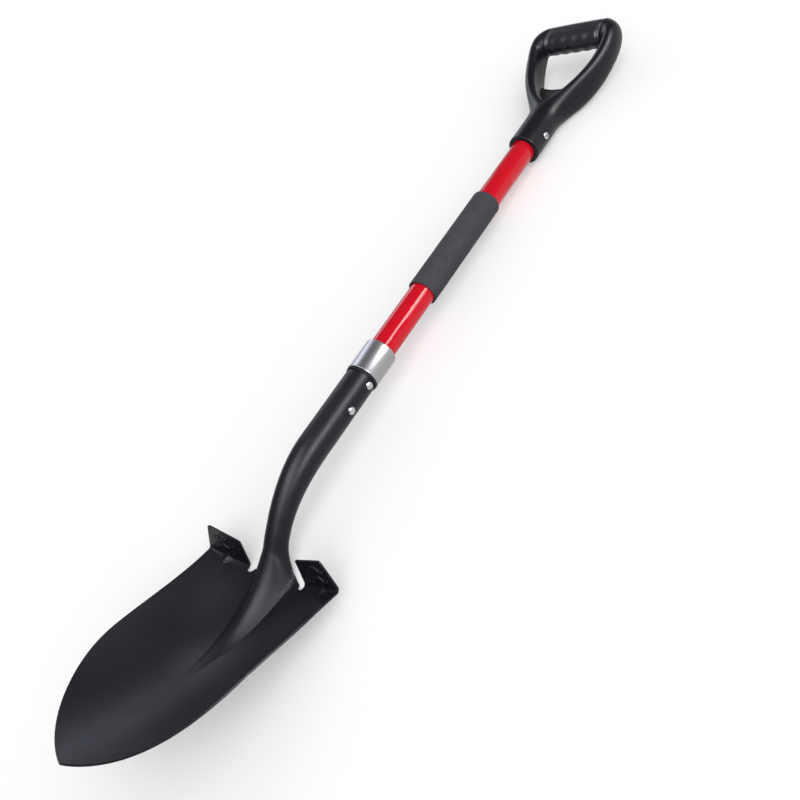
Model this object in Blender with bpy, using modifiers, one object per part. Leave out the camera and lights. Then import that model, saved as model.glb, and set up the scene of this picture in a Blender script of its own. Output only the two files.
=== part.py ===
"""Garden shovel: round-point blade, riveted glass-fibre shaft and moulded D-handle.

The shovel is modelled upright, with the shaft's axis on Z, its height counted from
the collar's top edge, and its hollow front face towards -Y. Last, it is laid on its
back on the floor, with its tip towards -Y. All sizes are in metres.
"""
import math

import bmesh
import bpy
from mathutils import Vector

# Gaps between pieces
GAP = 0.0003
HOLE_CLEARANCE = 0.0003

# Shaft: a glass-fibre tube with a core plug in each end
TUBE_OD = 0.032
TUBE_WALL = 0.0025
TUBE_IN_SOCKET = 0.125
TUBE_SIDES = 32
LOWER_PLUG_LENGTH = 0.095
UPPER_PLUG_LENGTH = 0.045

# Socket, rolled from the blade's own sheet
SHEET = 0.002
SOCKET_FIT = 0.0005
SOCKET_MOUTH = 0.006
SOCKET_STRAIGHT = 0.145
SEAM_GAP = 0.0012

# Collar and the black ring under it
COLLAR_LENGTH = 0.043
COLLAR_WALL = 0.0012
COLLAR_LIP_RADIUS = 0.0022
COLLAR_RING_HEIGHT = 0.003

# Rivets through the socket, and the screw of the handle
RIVET_BELOW_TOP = 0.053
RIVET_PITCH = 0.038
RIVET_SHANK = 0.005
RIVET_HEAD = 0.0095
RIVET_HEAD_HEIGHT = 0.0024
RIVET_BORE = 0.0028
SCREW_ABOVE_END = 0.0295
SCREW_HEAD = 0.010
SCREW_HEAD_HEIGHT = 0.0026
SCREW_SHANK = 0.004
SCREW_LENGTH = 0.012
SCREW_RECESS = 0.0136
SCREW_RECESS_DEPTH = 0.0012

# Foam sleeve
SLEEVE_START = 0.0963
SLEEVE_LENGTH = 0.1685
SLEEVE_WALL = 0.0028
SLEEVE_EDGE = 0.0012

# Neck, bent back from the socket to the blade
NECK_RADIUS = 0.182
NECK_ANGLE = math.radians(34)
NECK_WAIST = 0.0275
NECK_OPENING = math.radians(50)
ROOT_START = -0.002
ROOT_PULL = 0.8
ROOT_NECK_PULL = 1.15
ROOT_TAPER = 2.7

# Blade
BLADE_LEAN = math.radians(16.1)
HEEL_BELOW_TOP = 0.2761
HEEL_SETBACK = 0.0488
BLADE_LENGTH = 0.2756
FOLD_WIDTH = 0.2104
SIDE_WIDTH = 0.206
FOLD_FLARE = 0.040
ARCH_START = 0.138
RIM_CROWN = 0.007
RIM_CROWN_AT = 0.150
RIM_POWER = 2.5
HEEL_DEPTH = 0.017
DISH_DEPTH = 0.0275
DISH_POWER = 2.2

# Frog, the rib that runs from the neck down the blade
FROG_LENGTH = 0.148
FROG_HEIGHT = 0.034
FROG_HALF_WIDTH = 0.0275
FROG_TAPER = 0.77
FROG_FALL = 1.8
FROG_ROOT_FALL = 6
FROG_ROOT_SHARE = 0.45
FROG_SHOULDER = 0.66
FROG_FLANK = 4
FROG_SAG = 0.0042

# Foot treads and the notches beside the neck
NOTCH_INNER = 0.0365
NOTCH_OUTER = 0.046
NOTCH_DEPTH = 0.005
FOLD_RADIUS = 0.005
TREAD_SETBACK = 0.001
TREAD_SLANT = 0.0035
TREAD_HEIGHT = 0.035
TREAD_TOP_INSET = 0.0136
TREAD_CORNER = 0.002

# Moulded D-handle
YOKE_START = 0.3710
YOKE_OD = 0.0432
YOKE_LIP = 0.0016
YOKE_BORE_DEPTH = 0.050
YOKE_BEND_START = 0.410
YOKE_BEND_RADIUS = 0.375
YOKE_WIDTH = 0.1410
ARM_SPREAD_START = 0.4475
ARM_SPREAD_POWER = 2.4
ARM_WIDTH = 0.0205
ARM_FOOT_DEPTH = 0.043
ARM_DEPTH = 0.038
CORNER_WIDTH = 0.032
CORNER_INSET = 0.35
CORNER_DROP = 0.1
CROTCH = 0.460
FORK_WIDENING = 1.04
FORK_FLATTENING = 0.98
FORK_ARM_DROP = 0.002
FORK_ARM_WIDTH = 1.35
FORK_ARM_DEPTH = 0.93
FORK_CLEFT = 0.7
SHOULDER_LENGTH = 0.003
# Each ring of an arm: its share of the way up from the fork, its stoutness and its depth
ARM_STATIONS = ((0.13, 1.15, 1.0), (0.32, 1.05, 1.0), (0.52, 1.0, 0.92), (0.70, 1.0, 0.87))
CROSSBAR_ALONG = 0.5804
GRIP_LENGTH = 0.0886
GRIP_HEIGHT = 0.0402
GRIP_DEPTH = 0.032
CORE_DIAMETER = 0.022
WEB_EDGE = 0.492
WEB_HOLLOW = 0.009
WEB_THICKNESS = 0.011
GRIP_BELLY = 0.04
FINGER_SWELL = 0.0009
FINGER_COUNT = 5

# Sizes that follow from the ones above
TUBE_R = TUBE_OD / 2
SOCKET_INNER_R = TUBE_R + SOCKET_FIT
SOCKET_MID_R = SOCKET_INNER_R + SHEET / 2
SOCKET_OUTER_R = SOCKET_INNER_R + SHEET
COLLAR_INNER_R = SOCKET_OUTER_R + GAP
COLLAR_R = COLLAR_INNER_R + COLLAR_WALL
TUBE_TOP = YOKE_START + YOKE_BORE_DEPTH - GAP
YOKE_R = YOKE_OD / 2
RIVET_HEIGHTS = (-RIVET_BELOW_TOP, -RIVET_BELOW_TOP - RIVET_PITCH)
SCREW_Z = YOKE_START + SCREW_ABOVE_END

# Grid of the blade's sheet: how many cells each stretch has
FROG_COUNT = 10
NOTCH_COUNT = 2
TREAD_COUNT = 5
ARCH_COUNT = 9
SIDE_COUNT = 8
FOLD_COUNT = 3
FLAP_COUNT = 2
ROOT_COUNT = 6
NECK_COUNT = 7
SOCKET_COUNT = 2

scene = bpy.context.scene
for old in list(bpy.data.objects):
    bpy.data.objects.remove(old, do_unlink=True)

parts = bpy.data.collections.new("garden_shovel")
cutters = bpy.data.collections.new("cutters")
scene.collection.children.link(parts)
scene.collection.children.link(cutters)

root = bpy.data.objects.new("shovel_frame", None)
parts.objects.link(root)


def finish(name, colour, roughness, metallic=0.0):
    """A Principled material."""
    material = bpy.data.materials.new(name)
    material.use_nodes = True
    shader = material.node_tree.nodes["Principled BSDF"]
    shader.inputs["Base Color"].default_value = (*colour, 1.0)
    shader.inputs["Roughness"].default_value = roughness
    shader.inputs["Metallic"].default_value = metallic
    return material


POWDER_COAT = finish("powder_coat", (0.022, 0.024, 0.030), 0.45)
POLISHED_STEEL = finish("polished_steel", (0.60, 0.60, 0.62), 0.25, 1.0)
BLACK_NYLON = finish("black_nylon", (0.012, 0.012, 0.014), 0.5)
RED_GLASS_FIBRE = finish("red_glass_fibre", (0.60, 0.010, 0.022), 0.2)
PLUG_WOOD = finish("plug_wood", (0.45, 0.30, 0.17), 0.7)
FOAM = finish("black_foam", (0.035, 0.036, 0.044), 0.9)
HANDLE_PLASTIC = finish("handle_plastic", (0.025, 0.025, 0.030), 0.4)
SOFT_GRIP = finish("soft_grip", (0.018, 0.019, 0.024), 0.35)
BRIGHT_STEEL = finish("bright_steel", (0.70, 0.70, 0.72), 0.3, 1.0)


def add_object(name, mesh, material=None, collection=parts):
    """An object in the shovel's frame."""
    obj = bpy.data.objects.new(name, mesh)
    collection.objects.link(obj)
    obj.parent = root
    if material is not None:
        mesh.materials.append(material)
    return obj


def add_bmesh(name, bm, material=None, collection=parts):
    """An object from a bmesh, with smooth faces and sharp edges where it turns."""
    mesh = bpy.data.meshes.new(name)
    bm.to_mesh(mesh)
    bm.free()
    mesh.shade_smooth()
    mesh.set_sharp_from_angle(angle=math.radians(40))
    return add_object(name, mesh, material, collection)


def turned(name, profile, material, sides=TUBE_SIDES):
    """A ring or tube turned about Z from a closed (radius, height) profile."""
    mesh = bpy.data.meshes.new(name)
    count = len(profile)
    edges = [(i, (i + 1) % count) for i in range(count)]
    mesh.from_pydata([(radius, 0.0, height) for radius, height in profile], edges, [])
    obj = add_object(name, mesh, material)
    screw = obj.modifiers.new("turn", "SCREW")
    screw.axis = "Z"
    screw.steps = sides
    screw.render_steps = sides
    screw.use_merge_vertices = True
    screw.merge_threshold = 0.00001
    screw.use_smooth_shade = True
    return obj


def rod(name, radius, low, high, axis="Z", sides=TUBE_SIDES, centre=(0.0, 0.0), collection=parts,
        material=None):
    """A plain round bar between two places on an axis through the centre."""
    bm = bmesh.new()
    bmesh.ops.create_cone(bm, cap_ends=True, segments=sides, radius1=radius, radius2=radius,
                          depth=high - low)
    middle = (low + high) / 2
    for vert in bm.verts:
        x, y, z = vert.co
        if axis == "X":
            vert.co = Vector((middle + z, centre[0] + x, centre[1] + y))
        else:
            vert.co = Vector((centre[0] + x, centre[1] + y, middle + z))
    return add_bmesh(name, bm, material, collection)


def combine(obj, tool, operation="DIFFERENCE"):
    """Cut an object with a hidden tool, or join the tool to it."""
    tool.hide_render = True
    tool.display_type = "WIRE"
    boolean = obj.modifiers.new(tool.name, "BOOLEAN")
    boolean.operation = operation
    boolean.solver = "EXACT"
    boolean.object = tool


def grid_object(name, columns, rows, place, material=None, collection=parts, keep=None):
    """A sheet: a grid whose point (column, row) goes where place says."""
    bm = bmesh.new()
    bmesh.ops.create_grid(bm, x_segments=columns, y_segments=rows, size=1.0)
    spots = {}
    for vert in bm.verts:
        spots[vert] = (round((vert.co.x + 1) / 2 * columns), round((vert.co.y + 1) / 2 * rows))
    if keep is not None:
        doomed = []
        for face in bm.faces:
            column = min(spots[vert][0] for vert in face.verts)
            row = min(spots[vert][1] for vert in face.verts)
            if not keep(column, row):
                doomed.append(face)
        bmesh.ops.delete(bm, geom=doomed, context="FACES")
    for vert in bm.verts:
        vert.co = place(*spots[vert])
    bmesh.ops.remove_doubles(bm, verts=bm.verts, dist=0.00001)
    return add_bmesh(name, bm, material, collection)


# Blade

ARCH_RISE = BLADE_LENGTH - ARCH_START
ARCH_RADIUS = ((SIDE_WIDTH / 2) ** 2 + ARCH_RISE ** 2) / SIDE_WIDTH
ARCH_ANGLE = math.asin(ARCH_RISE / ARCH_RADIUS)
HALF_COLUMNS = FROG_COUNT + NOTCH_COUNT + TREAD_COUNT
HEEL_ROW = ARCH_COUNT + SIDE_COUNT
TREAD_ROWS = FOLD_COUNT + FLAP_COUNT
TOTAL_ROWS = HEEL_ROW + ROOT_COUNT + NECK_COUNT + SOCKET_COUNT


def blade_point(x, along, height):
    """A point in the blade's own axes: across, from the fold to the tip, and up from the rim."""
    front = -HEEL_SETBACK + along * math.sin(BLADE_LEAN) + height * math.cos(BLADE_LEAN)
    up = -HEEL_BELOW_TOP - along * math.cos(BLADE_LEAN) + height * math.sin(BLADE_LEAN)
    return Vector((x, -front, up))


def half_width(along):
    """Half the blade's width: a flare at the fold, straight sides, then a pointed arch."""
    if along <= ARCH_START:
        flare = min(max(1 - along / FOLD_FLARE, 0.0), 1.0)
        return (SIDE_WIDTH + (FOLD_WIDTH - SIDE_WIDTH) * flare ** 2) / 2
    rise = along - ARCH_START
    return SIDE_WIDTH / 2 - ARCH_RADIUS + math.sqrt(max(ARCH_RADIUS ** 2 - rise ** 2, 0.0))


def rim_height(along):
    """The rim, seen from the side: flat at the fold and the tip, with a crown between."""
    share = min(max(along / BLADE_LENGTH, 0.0), 1.0)
    share **= math.log(0.5) / math.log(RIM_CROWN_AT / BLADE_LENGTH)
    return RIM_CROWN * math.sin(math.pi * share) ** RIM_POWER


def floor_height(along):
    """The blade's middle line, a parabola to the tip that sags on either side of the frog."""
    bend = HEEL_DEPTH * (1 - FROG_LENGTH / BLADE_LENGTH) - DISH_DEPTH
    bend /= FROG_LENGTH * (FROG_LENGTH - BLADE_LENGTH)
    slope = HEEL_DEPTH / BLADE_LENGTH - bend * BLADE_LENGTH
    sag = FROG_SAG * math.sin(math.pi * min(max(along / FROG_LENGTH, 0.0), 1.0)) ** 2
    return -HEEL_DEPTH + slope * along + bend * along * along - sag


def dish_height(x, along):
    rim = rim_height(along)
    share = min(abs(x) / max(half_width(along), 0.0001), 1.0)
    return rim + (floor_height(along) - rim) * (1 - share ** DISH_POWER)


def frog_height(x, along):
    """How far the frog stands above the dish: a horn with hollow flanks."""
    share = min(along / FROG_LENGTH, 1.0)
    width = FROG_HALF_WIDTH * (1 - share) ** FROG_TAPER
    if abs(x) >= width:
        return 0.0
    foot = 1 / (1 + FROG_SHOULDER ** -FROG_FLANK)
    arch = 1 / (1 + (abs(x) / width / FROG_SHOULDER) ** FROG_FLANK)
    crest = FROG_ROOT_SHARE * (1 - share) ** FROG_ROOT_FALL
    crest += (1 - FROG_ROOT_SHARE) * (1 - share) ** FROG_FALL
    return FROG_HEIGHT * crest * (arch - foot) / (1 - foot)


def sheet_point(x, along):
    return blade_point(x, along, dish_height(x, along) + frog_height(x, along))


def heel_x(step):
    """Where a column of the grid crosses the fold, from the middle outwards."""
    if step <= FROG_COUNT:
        return NOTCH_INNER * step / FROG_COUNT
    if step <= FROG_COUNT + NOTCH_COUNT:
        turn = math.pi * (step - FROG_COUNT) / NOTCH_COUNT
        return NOTCH_INNER + (NOTCH_OUTER - NOTCH_INNER) * (1 - math.cos(turn)) / 2
    share = (step - FROG_COUNT - NOTCH_COUNT) / TREAD_COUNT
    return NOTCH_OUTER + (FOLD_WIDTH / 2 - NOTCH_OUTER) * share


def heel_along(step):
    """Where a column of the blade ends: at the root, the notch's bottom or the fold."""
    if step <= FROG_COUNT:
        return ROOT_START
    if step < FROG_COUNT + NOTCH_COUNT:
        share = (step - FROG_COUNT) / NOTCH_COUNT
        tread_start = FOLD_RADIUS - tread_setback(NOTCH_OUTER)
        rise = (tread_start - ROOT_START) * (1 - math.cos(math.pi * share)) / 2
        return ROOT_START + rise + NOTCH_DEPTH * share * math.sin(math.pi * share)
    return FOLD_RADIUS - tread_setback(heel_x(step))


def tread_setback(x):
    """How far a tread's plate stands behind the fold line: more beside the neck."""
    share = (x - NOTCH_OUTER) / (FOLD_WIDTH / 2 - NOTCH_OUTER)
    return TREAD_SETBACK + TREAD_SLANT * (1 - share)


def blade_place(step, side, row):
    """A point of the dished blade, its rows spread along the arch and then the sides."""
    if row <= ARCH_COUNT:
        along = ARCH_START + ARCH_RADIUS * math.sin(ARCH_ANGLE * (1 - row / ARCH_COUNT))
    else:
        along = ARCH_START + (heel_along(step) - ARCH_START) * (row - ARCH_COUNT) / SIDE_COUNT
    share = heel_x(step) / (FOLD_WIDTH / 2)
    return sheet_point(side * share * half_width(along), along)


def tread_place(step, side, row):
    """The flap of a foot tread: a round fold, then a flat plate up to its top edge."""
    base_x = heel_x(step)
    base = dish_height(base_x, 0.0)
    if row <= FOLD_COUNT:
        angle = math.pi / 2 * row / FOLD_COUNT
        along = FOLD_RADIUS * (1 - math.sin(angle)) - tread_setback(base_x)
        return blade_point(side * base_x, along, base + FOLD_RADIUS * (1 - math.cos(angle)))
    share = (row - FOLD_COUNT) / FLAP_COUNT
    width_share = (base_x - NOTCH_OUTER) / (FOLD_WIDTH / 2 - NOTCH_OUTER)
    top = dish_height(NOTCH_OUTER, 0.0) * (1 - width_share) + TREAD_HEIGHT
    if row == TREAD_ROWS and step in (FROG_COUNT + NOTCH_COUNT, HALF_COLUMNS):
        top -= TREAD_CORNER
    height = base + FOLD_RADIUS + (top - base - FOLD_RADIUS) * share
    x = base_x - TREAD_TOP_INSET * width_share * share
    return blade_point(side * x, -tread_setback(x), height)


def neck_axis(turn):
    """Centre, direction and front normal of the neck where it has turned by an angle."""
    centre_up = -SOCKET_STRAIGHT - NECK_RADIUS * math.sin(turn)
    centre_front = -NECK_RADIUS * (1 - math.cos(turn))
    down = Vector((0.0, math.sin(turn), -math.cos(turn)))
    front = Vector((0.0, -math.cos(turn), -math.sin(turn)))
    return Vector((0.0, -centre_front, centre_up)), down, front


def neck_ring(step, side, turn):
    """A point of the rolled neck, from the front round to the seam at the back."""
    centre, down, front = neck_axis(turn)
    share = min(turn / NECK_ANGLE, 1.0)
    radius = SOCKET_MID_R + (NECK_WAIST / 2 - SHEET / 2 - SOCKET_MID_R) * math.sin(math.pi / 2 * share) ** 2
    widest = math.pi - SEAM_GAP / 2 / radius - NECK_OPENING * share ** 4
    angle = widest * step / FROG_COUNT
    return centre + radius * (Vector((side, 0, 0)) * math.sin(angle) + front * math.cos(angle))


def root_place(step, side, row):
    """The flared root between the blade and the neck, a smooth curve down each column."""
    share = row / ROOT_COUNT
    start = blade_place(step, side, HEEL_ROW)
    end = neck_ring(step, side, NECK_ANGLE)
    reach = (end - start).length
    start_pull = (start - sheet_point(start.x, ROOT_START + SHEET)).normalized() * ROOT_PULL * reach
    end_pull = -neck_axis(NECK_ANGLE)[1] * ROOT_NECK_PULL * reach
    a = 2 * share ** 3 - 3 * share ** 2 + 1
    b = share ** 3 - 2 * share ** 2 + share
    c = 3 * share ** 2 - 2 * share ** 3
    d = share ** 3 - share ** 2
    point = a * start + b * start_pull + c * end + d * end_pull
    point.x = end.x + (start.x - end.x) * (1 - share) ** ROOT_TAPER
    return point


def stamping_place(column, row):
    """Any point of the one stamped sheet: blade, treads, root, neck and socket."""
    step = abs(column - HALF_COLUMNS)
    side = 1 if column >= HALF_COLUMNS else -1
    if row <= HEEL_ROW:
        return blade_place(step, side, row)
    if step > FROG_COUNT:
        return tread_place(step, side, min(row - HEEL_ROW, TREAD_ROWS))
    row -= HEEL_ROW
    if row <= ROOT_COUNT:
        return root_place(step, side, row)
    row -= ROOT_COUNT
    if row <= NECK_COUNT:
        return neck_ring(step, side, NECK_ANGLE * (1 - row / NECK_COUNT))
    share = (row - NECK_COUNT) / SOCKET_COUNT
    rise = (SOCKET_STRAIGHT - SOCKET_MOUTH) * share
    return neck_ring(step, side, 0.0) + Vector((0.0, 0.0, rise))


def stamping_keeps(column, row):
    """Cells that exist: all of the blade, then only the neck and the two treads."""
    if row < HEEL_ROW:
        return True
    step = column - HALF_COLUMNS if column >= HALF_COLUMNS else HALF_COLUMNS - 1 - column
    if step < FROG_COUNT:
        return True
    return step >= FROG_COUNT + NOTCH_COUNT and row < HEEL_ROW + TREAD_ROWS


def make_blade():
    blade = grid_object("blade", 2 * HALF_COLUMNS, TOTAL_ROWS, stamping_place, POWDER_COAT,
                        keep=stamping_keeps)
    wall = blade.modifiers.new("sheet", "SOLIDIFY")
    wall.thickness = SHEET
    wall.offset = 0.0
    wall.use_even_offset = True
    return blade


# Collar and ring

def make_collar():
    """A drawn steel collar, closed in over the tube at its top."""
    corner = COLLAR_LIP_RADIUS
    outer = []
    for i in range(6):
        angle = math.pi / 2 * i / 5
        outer.append((COLLAR_R - corner + corner * math.sin(angle), corner * (math.cos(angle) - 1)))
    bore = TUBE_R + GAP
    profile = [(bore, 0.0)] + outer + [
        (COLLAR_R, -COLLAR_LENGTH),
        (COLLAR_INNER_R, -COLLAR_LENGTH),
        (COLLAR_INNER_R, -corner),
        (bore, -corner + COLLAR_WALL / 2),
    ]
    turned("collar", profile, POLISHED_STEEL)


def make_collar_ring():
    """The black ring that shows below the collar."""
    top = -COLLAR_LENGTH - GAP
    inner = SOCKET_OUTER_R + GAP
    turned("collar_ring", [
        (inner, top),
        (COLLAR_R - GAP, top),
        (COLLAR_R - GAP, top - COLLAR_RING_HEIGHT),
        (inner, top - COLLAR_RING_HEIGHT),
    ], BLACK_NYLON)


# Shaft

def make_shaft():
    inner = TUBE_R - TUBE_WALL
    tube = turned("shaft_tube", [
        (inner, TUBE_TOP),
        (TUBE_R, TUBE_TOP),
        (TUBE_R, -TUBE_IN_SOCKET),
        (inner, -TUBE_IN_SOCKET),
    ], RED_GLASS_FIBRE)
    lower = rod("lower_core_plug", inner - GAP, -TUBE_IN_SOCKET, -TUBE_IN_SOCKET + LOWER_PLUG_LENGTH,
                material=PLUG_WOOD)
    upper = rod("upper_core_plug", inner - GAP, TUBE_TOP - UPPER_PLUG_LENGTH, TUBE_TOP,
                material=PLUG_WOOD)
    return tube, lower, upper


def make_sleeve():
    """The foam sleeve, with rounded ends."""
    inner = TUBE_R + GAP
    outer = TUBE_R + SLEEVE_WALL
    low = SLEEVE_START
    high = SLEEVE_START + SLEEVE_LENGTH
    turned("foam_sleeve", [
        (inner, high),
        (outer - SLEEVE_EDGE, high),
        (outer, high - SLEEVE_EDGE),
        (outer, low + SLEEVE_EDGE),
        (outer - SLEEVE_EDGE, low),
        (inner, low),
    ], FOAM)


# Fasteners

def headed_pin(name, stations, height, material, sides=16):
    """A pin along X, from (place, radius) stations, turned about its own axis."""
    mesh = bpy.data.meshes.new(name)
    count = len(stations)
    mesh.from_pydata([(radius, 0.0, place) for place, radius in stations],
                     [(i, i + 1) for i in range(count - 1)], [])
    pin = add_object(name, mesh, material)
    pin.location = (0.0, 0.0, height)
    pin.rotation_euler = (0.0, math.pi / 2, 0.0)
    screw = pin.modifiers.new("turn", "SCREW")
    screw.axis = "Z"
    screw.steps = sides
    screw.render_steps = sides
    screw.use_merge_vertices = True
    screw.merge_threshold = 0.00001
    screw.use_smooth_shade = True
    return pin


def make_rivet(name, height):
    """A tubular rivet: its rolled end with a hole on +X, its plain dome on -X."""
    seat = SOCKET_OUTER_R + GAP
    head = RIVET_HEAD / 2
    shank = RIVET_SHANK / 2
    bore = RIVET_BORE / 2
    top = seat + RIVET_HEAD_HEIGHT
    stations = [
        (top - RIVET_HEAD_HEIGHT * 1.2, 0.0),
        (top - RIVET_HEAD_HEIGHT * 1.2, bore),
        (top - RIVET_HEAD_HEIGHT * 0.25, bore),
        (top, bore * 1.5),
        (top - RIVET_HEAD_HEIGHT * 0.2, head * 0.75),
        (top - RIVET_HEAD_HEIGHT * 0.6, head * 0.96),
        (seat, head),
        (seat, shank),
        (-seat, shank),
        (-seat, head),
        (-seat - RIVET_HEAD_HEIGHT * 0.4, head * 0.92),
        (-seat - RIVET_HEAD_HEIGHT * 0.8, head * 0.6),
        (-seat - RIVET_HEAD_HEIGHT, 0.0),
    ]
    return headed_pin(name, stations, height, BRIGHT_STEEL)


def make_screw():
    """The pan-head screw that holds the handle on the shaft."""
    seat = YOKE_R - SCREW_RECESS_DEPTH + GAP
    head = SCREW_HEAD / 2
    shank = SCREW_SHANK / 2
    top = seat + SCREW_HEAD_HEIGHT
    return headed_pin("handle_screw", [
        (top, 0.0),
        (top - SCREW_HEAD_HEIGHT * 0.1, head * 0.6),
        (top - SCREW_HEAD_HEIGHT * 0.4, head * 0.94),
        (seat, head),
        (seat, shank),
        (seat - SCREW_LENGTH + shank, shank),
        (seat - SCREW_LENGTH, 0.0),
    ], SCREW_Z, BRIGHT_STEEL)


def bore_for_fasteners(blade, tube, lower, upper, yoke):
    reach = COLLAR_R * 2
    hole = RIVET_SHANK / 2 + HOLE_CLEARANCE
    for number, height in enumerate(RIVET_HEIGHTS, 1):
        tool = rod(f"rivet_hole_{number}", hole, -reach, reach, "X", 16, (0.0, height), cutters)
        for obj in (blade, tube, lower):
            combine(obj, tool)
    seat = YOKE_R - SCREW_RECESS_DEPTH
    end = seat - SCREW_LENGTH - HOLE_CLEARANCE
    tool = rod("screw_hole", SCREW_SHANK / 2 + HOLE_CLEARANCE, end, reach, "X", 16, (0.0, SCREW_Z), cutters)
    for obj in (tube, upper, yoke):
        combine(obj, tool)
    recess = rod("screw_recess", SCREW_RECESS / 2, seat, reach, "X", 24, (0.0, SCREW_Z), cutters)
    combine(yoke, recess)


# D-handle

def bent(x, along, front):
    """A point of the handle: straight on the shaft, then bent forwards on an arc."""
    if along <= YOKE_BEND_START:
        return Vector((x, -front, along))
    turn = (along - YOKE_BEND_START) / YOKE_BEND_RADIUS
    up = YOKE_BEND_START + YOKE_BEND_RADIUS * math.sin(turn) - front * math.sin(turn)
    out = YOKE_BEND_RADIUS * (1 - math.cos(turn)) + front * math.cos(turn)
    return Vector((x, -out, up))


# A subdivided cage draws in from its corners: these undo it for 12 and for 10 corners
SWELL_12 = 1 / (2 / 3 + math.cos(math.radians(30)) / 3)
SWELL_10 = 1 / (2 / 3 + math.cos(math.radians(36)) / 3)


def socket_ring(along, side_reach, front_reach):
    """Half a ring of the socket, from its front round +X to its back."""
    ring = []
    for i in range(7):
        angle = math.radians(90 - 30 * i)
        x = side_reach * SWELL_12 * math.cos(angle)
        ring.append((0.0 if i in (0, 6) else x, along, front_reach * SWELL_12 * math.sin(angle)))
    return ring


def arm_reach(along):
    """Half the handle's width: the arms spread quickly at their feet, then run parallel."""
    share = (along - ARM_SPREAD_START) / (CROSSBAR_ALONG - ARM_SPREAD_START)
    return YOKE_R + (YOKE_WIDTH / 2 - YOKE_R) * (1 - (1 - share) ** ARM_SPREAD_POWER)


def arm_ring(x, along, tilt, half_wide, half_deep):
    """A whole ring of an arm or of the crossbar, its outer side turned by tilt from +X to up."""
    ring = []
    for i in range(10):
        angle = math.radians(108 - 36 * i)
        out = half_wide * SWELL_10 * math.cos(angle)
        ring.append((x + out * math.cos(tilt), along + out * math.sin(tilt),
                     half_deep * SWELL_10 * math.sin(angle)))
    return ring


def yoke_cage():
    """Half of the handle's cage: socket, arm, corner and crossbar core."""
    arm = ARM_WIDTH / 2
    foot = ARM_FOOT_DEPTH / 2
    deep = ARM_DEPTH / 2
    high = GRIP_HEIGHT / 2
    core = CORE_DIAMETER / 2
    shoulder = GRIP_LENGTH / 2 + GAP
    span = CROSSBAR_ALONG - CROTCH
    start = YOKE_START
    sockets = [
        socket_ring(start, YOKE_R - YOKE_LIP, YOKE_R - YOKE_LIP),
        socket_ring(start + YOKE_LIP, YOKE_R, YOKE_R),
        socket_ring(start + YOKE_BORE_DEPTH / 2, YOKE_R, YOKE_R),
        socket_ring(start + YOKE_BORE_DEPTH, YOKE_R, YOKE_R),
        socket_ring((start + YOKE_BORE_DEPTH + CROTCH) / 2, YOKE_R * FORK_WIDENING, YOKE_R * FORK_FLATTENING),
    ]
    half = arm * FORK_ARM_WIDTH
    first = arm_ring(arm_reach(CROTCH) - half, CROTCH - FORK_ARM_DROP, 0.0, half, foot * FORK_ARM_DEPTH)
    for i in (7, 8, 9):
        first[i] = (0.0, CROTCH, first[i][2] * FORK_CLEFT)
    arms = [first]
    for share, stout, depth in ARM_STATIONS:
        along = CROTCH + span * share
        half = arm * stout
        arms.append(arm_ring(arm_reach(along) - half, along, 0.0, half, foot * depth))
    side = YOKE_WIDTH / 2 - arm
    arms += [
        arm_ring(side, CROSSBAR_ALONG - high, math.radians(8), arm, deep),
        arm_ring(side - arm * CORNER_INSET, CROSSBAR_ALONG - high * CORNER_DROP, math.radians(45),
                 CORNER_WIDTH / 2, deep),
        arm_ring(shoulder + SHOULDER_LENGTH, CROSSBAR_ALONG, math.radians(90), high, GRIP_DEPTH / 2),
        arm_ring(shoulder, CROSSBAR_ALONG, math.radians(90), high, GRIP_DEPTH / 2),
        arm_ring(shoulder, CROSSBAR_ALONG, math.radians(90), core, core),
        arm_ring(0.0, CROSSBAR_ALONG, math.radians(90), core, core),
    ]
    return sockets, arms


def make_yoke():
    sockets, arms = yoke_cage()
    bm = bmesh.new()
    socket_verts = [[bm.verts.new(bent(*point)) for point in ring] for ring in sockets]
    arm_verts = [[bm.verts.new(bent(*point)) for point in ring] for ring in arms]
    bottom = bm.faces.new(socket_verts[0])
    for low, high in zip(socket_verts, socket_verts[1:] + [arm_verts[0][:7]]):
        for i in range(6):
            bm.faces.new((low[i], high[i], high[i + 1], low[i + 1]))
    fork = socket_verts[-1]
    bm.faces.new((fork[0], arm_verts[0][9], arm_verts[0][0]))
    bm.faces.new((fork[6], arm_verts[0][6], arm_verts[0][7]))
    for low, high in zip(arm_verts, arm_verts[1:]):
        for i in range(10):
            j = (i + 1) % 10
            bm.faces.new((low[i], high[i], high[j], low[j]))
    crease = bm.edges.layers.float.new("crease_edge")
    for edge in bottom.edges:
        edge[crease] = 0.8
    for ring in arm_verts[-3:-1]:
        for i in range(10):
            bm.edges.get((ring[i], ring[(i + 1) % 10]))[crease] = 1.0
    bmesh.ops.recalc_face_normals(bm, faces=bm.faces)
    yoke = add_bmesh("handle_yoke", bm, HANDLE_PLASTIC)
    mirror = yoke.modifiers.new("other_half", "MIRROR")
    mirror.use_clip = True
    mirror.merge_threshold = 0.00001
    smooth = yoke.modifiers.new("round", "SUBSURF")
    smooth.levels = 1
    smooth.render_levels = 1
    combine(yoke, make_web(), "UNION")
    bore = rod("yoke_bore", TUBE_R + GAP, YOKE_START - 0.01, YOKE_START + YOKE_BORE_DEPTH,
               collection=cutters)
    combine(yoke, bore)
    return yoke


def make_web():
    """The thin floor between the feet of the arms, up to its hollowed edge."""
    columns = 12
    rows = 5

    def place(column, row):
        side = 2 * column / columns - 1
        low = CROTCH - ARM_WIDTH / 2
        share = row / rows
        along = low + (WEB_EDGE + WEB_HOLLOW * side * side - low) * share
        return bent(side * (arm_reach(along) - ARM_WIDTH / 2), along, 0.0)

    web = grid_object("web", columns, rows, place, collection=cutters)
    wall = web.modifiers.new("wall", "SOLIDIFY")
    wall.thickness = WEB_THICKNESS
    wall.offset = 0.0
    return web


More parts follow.
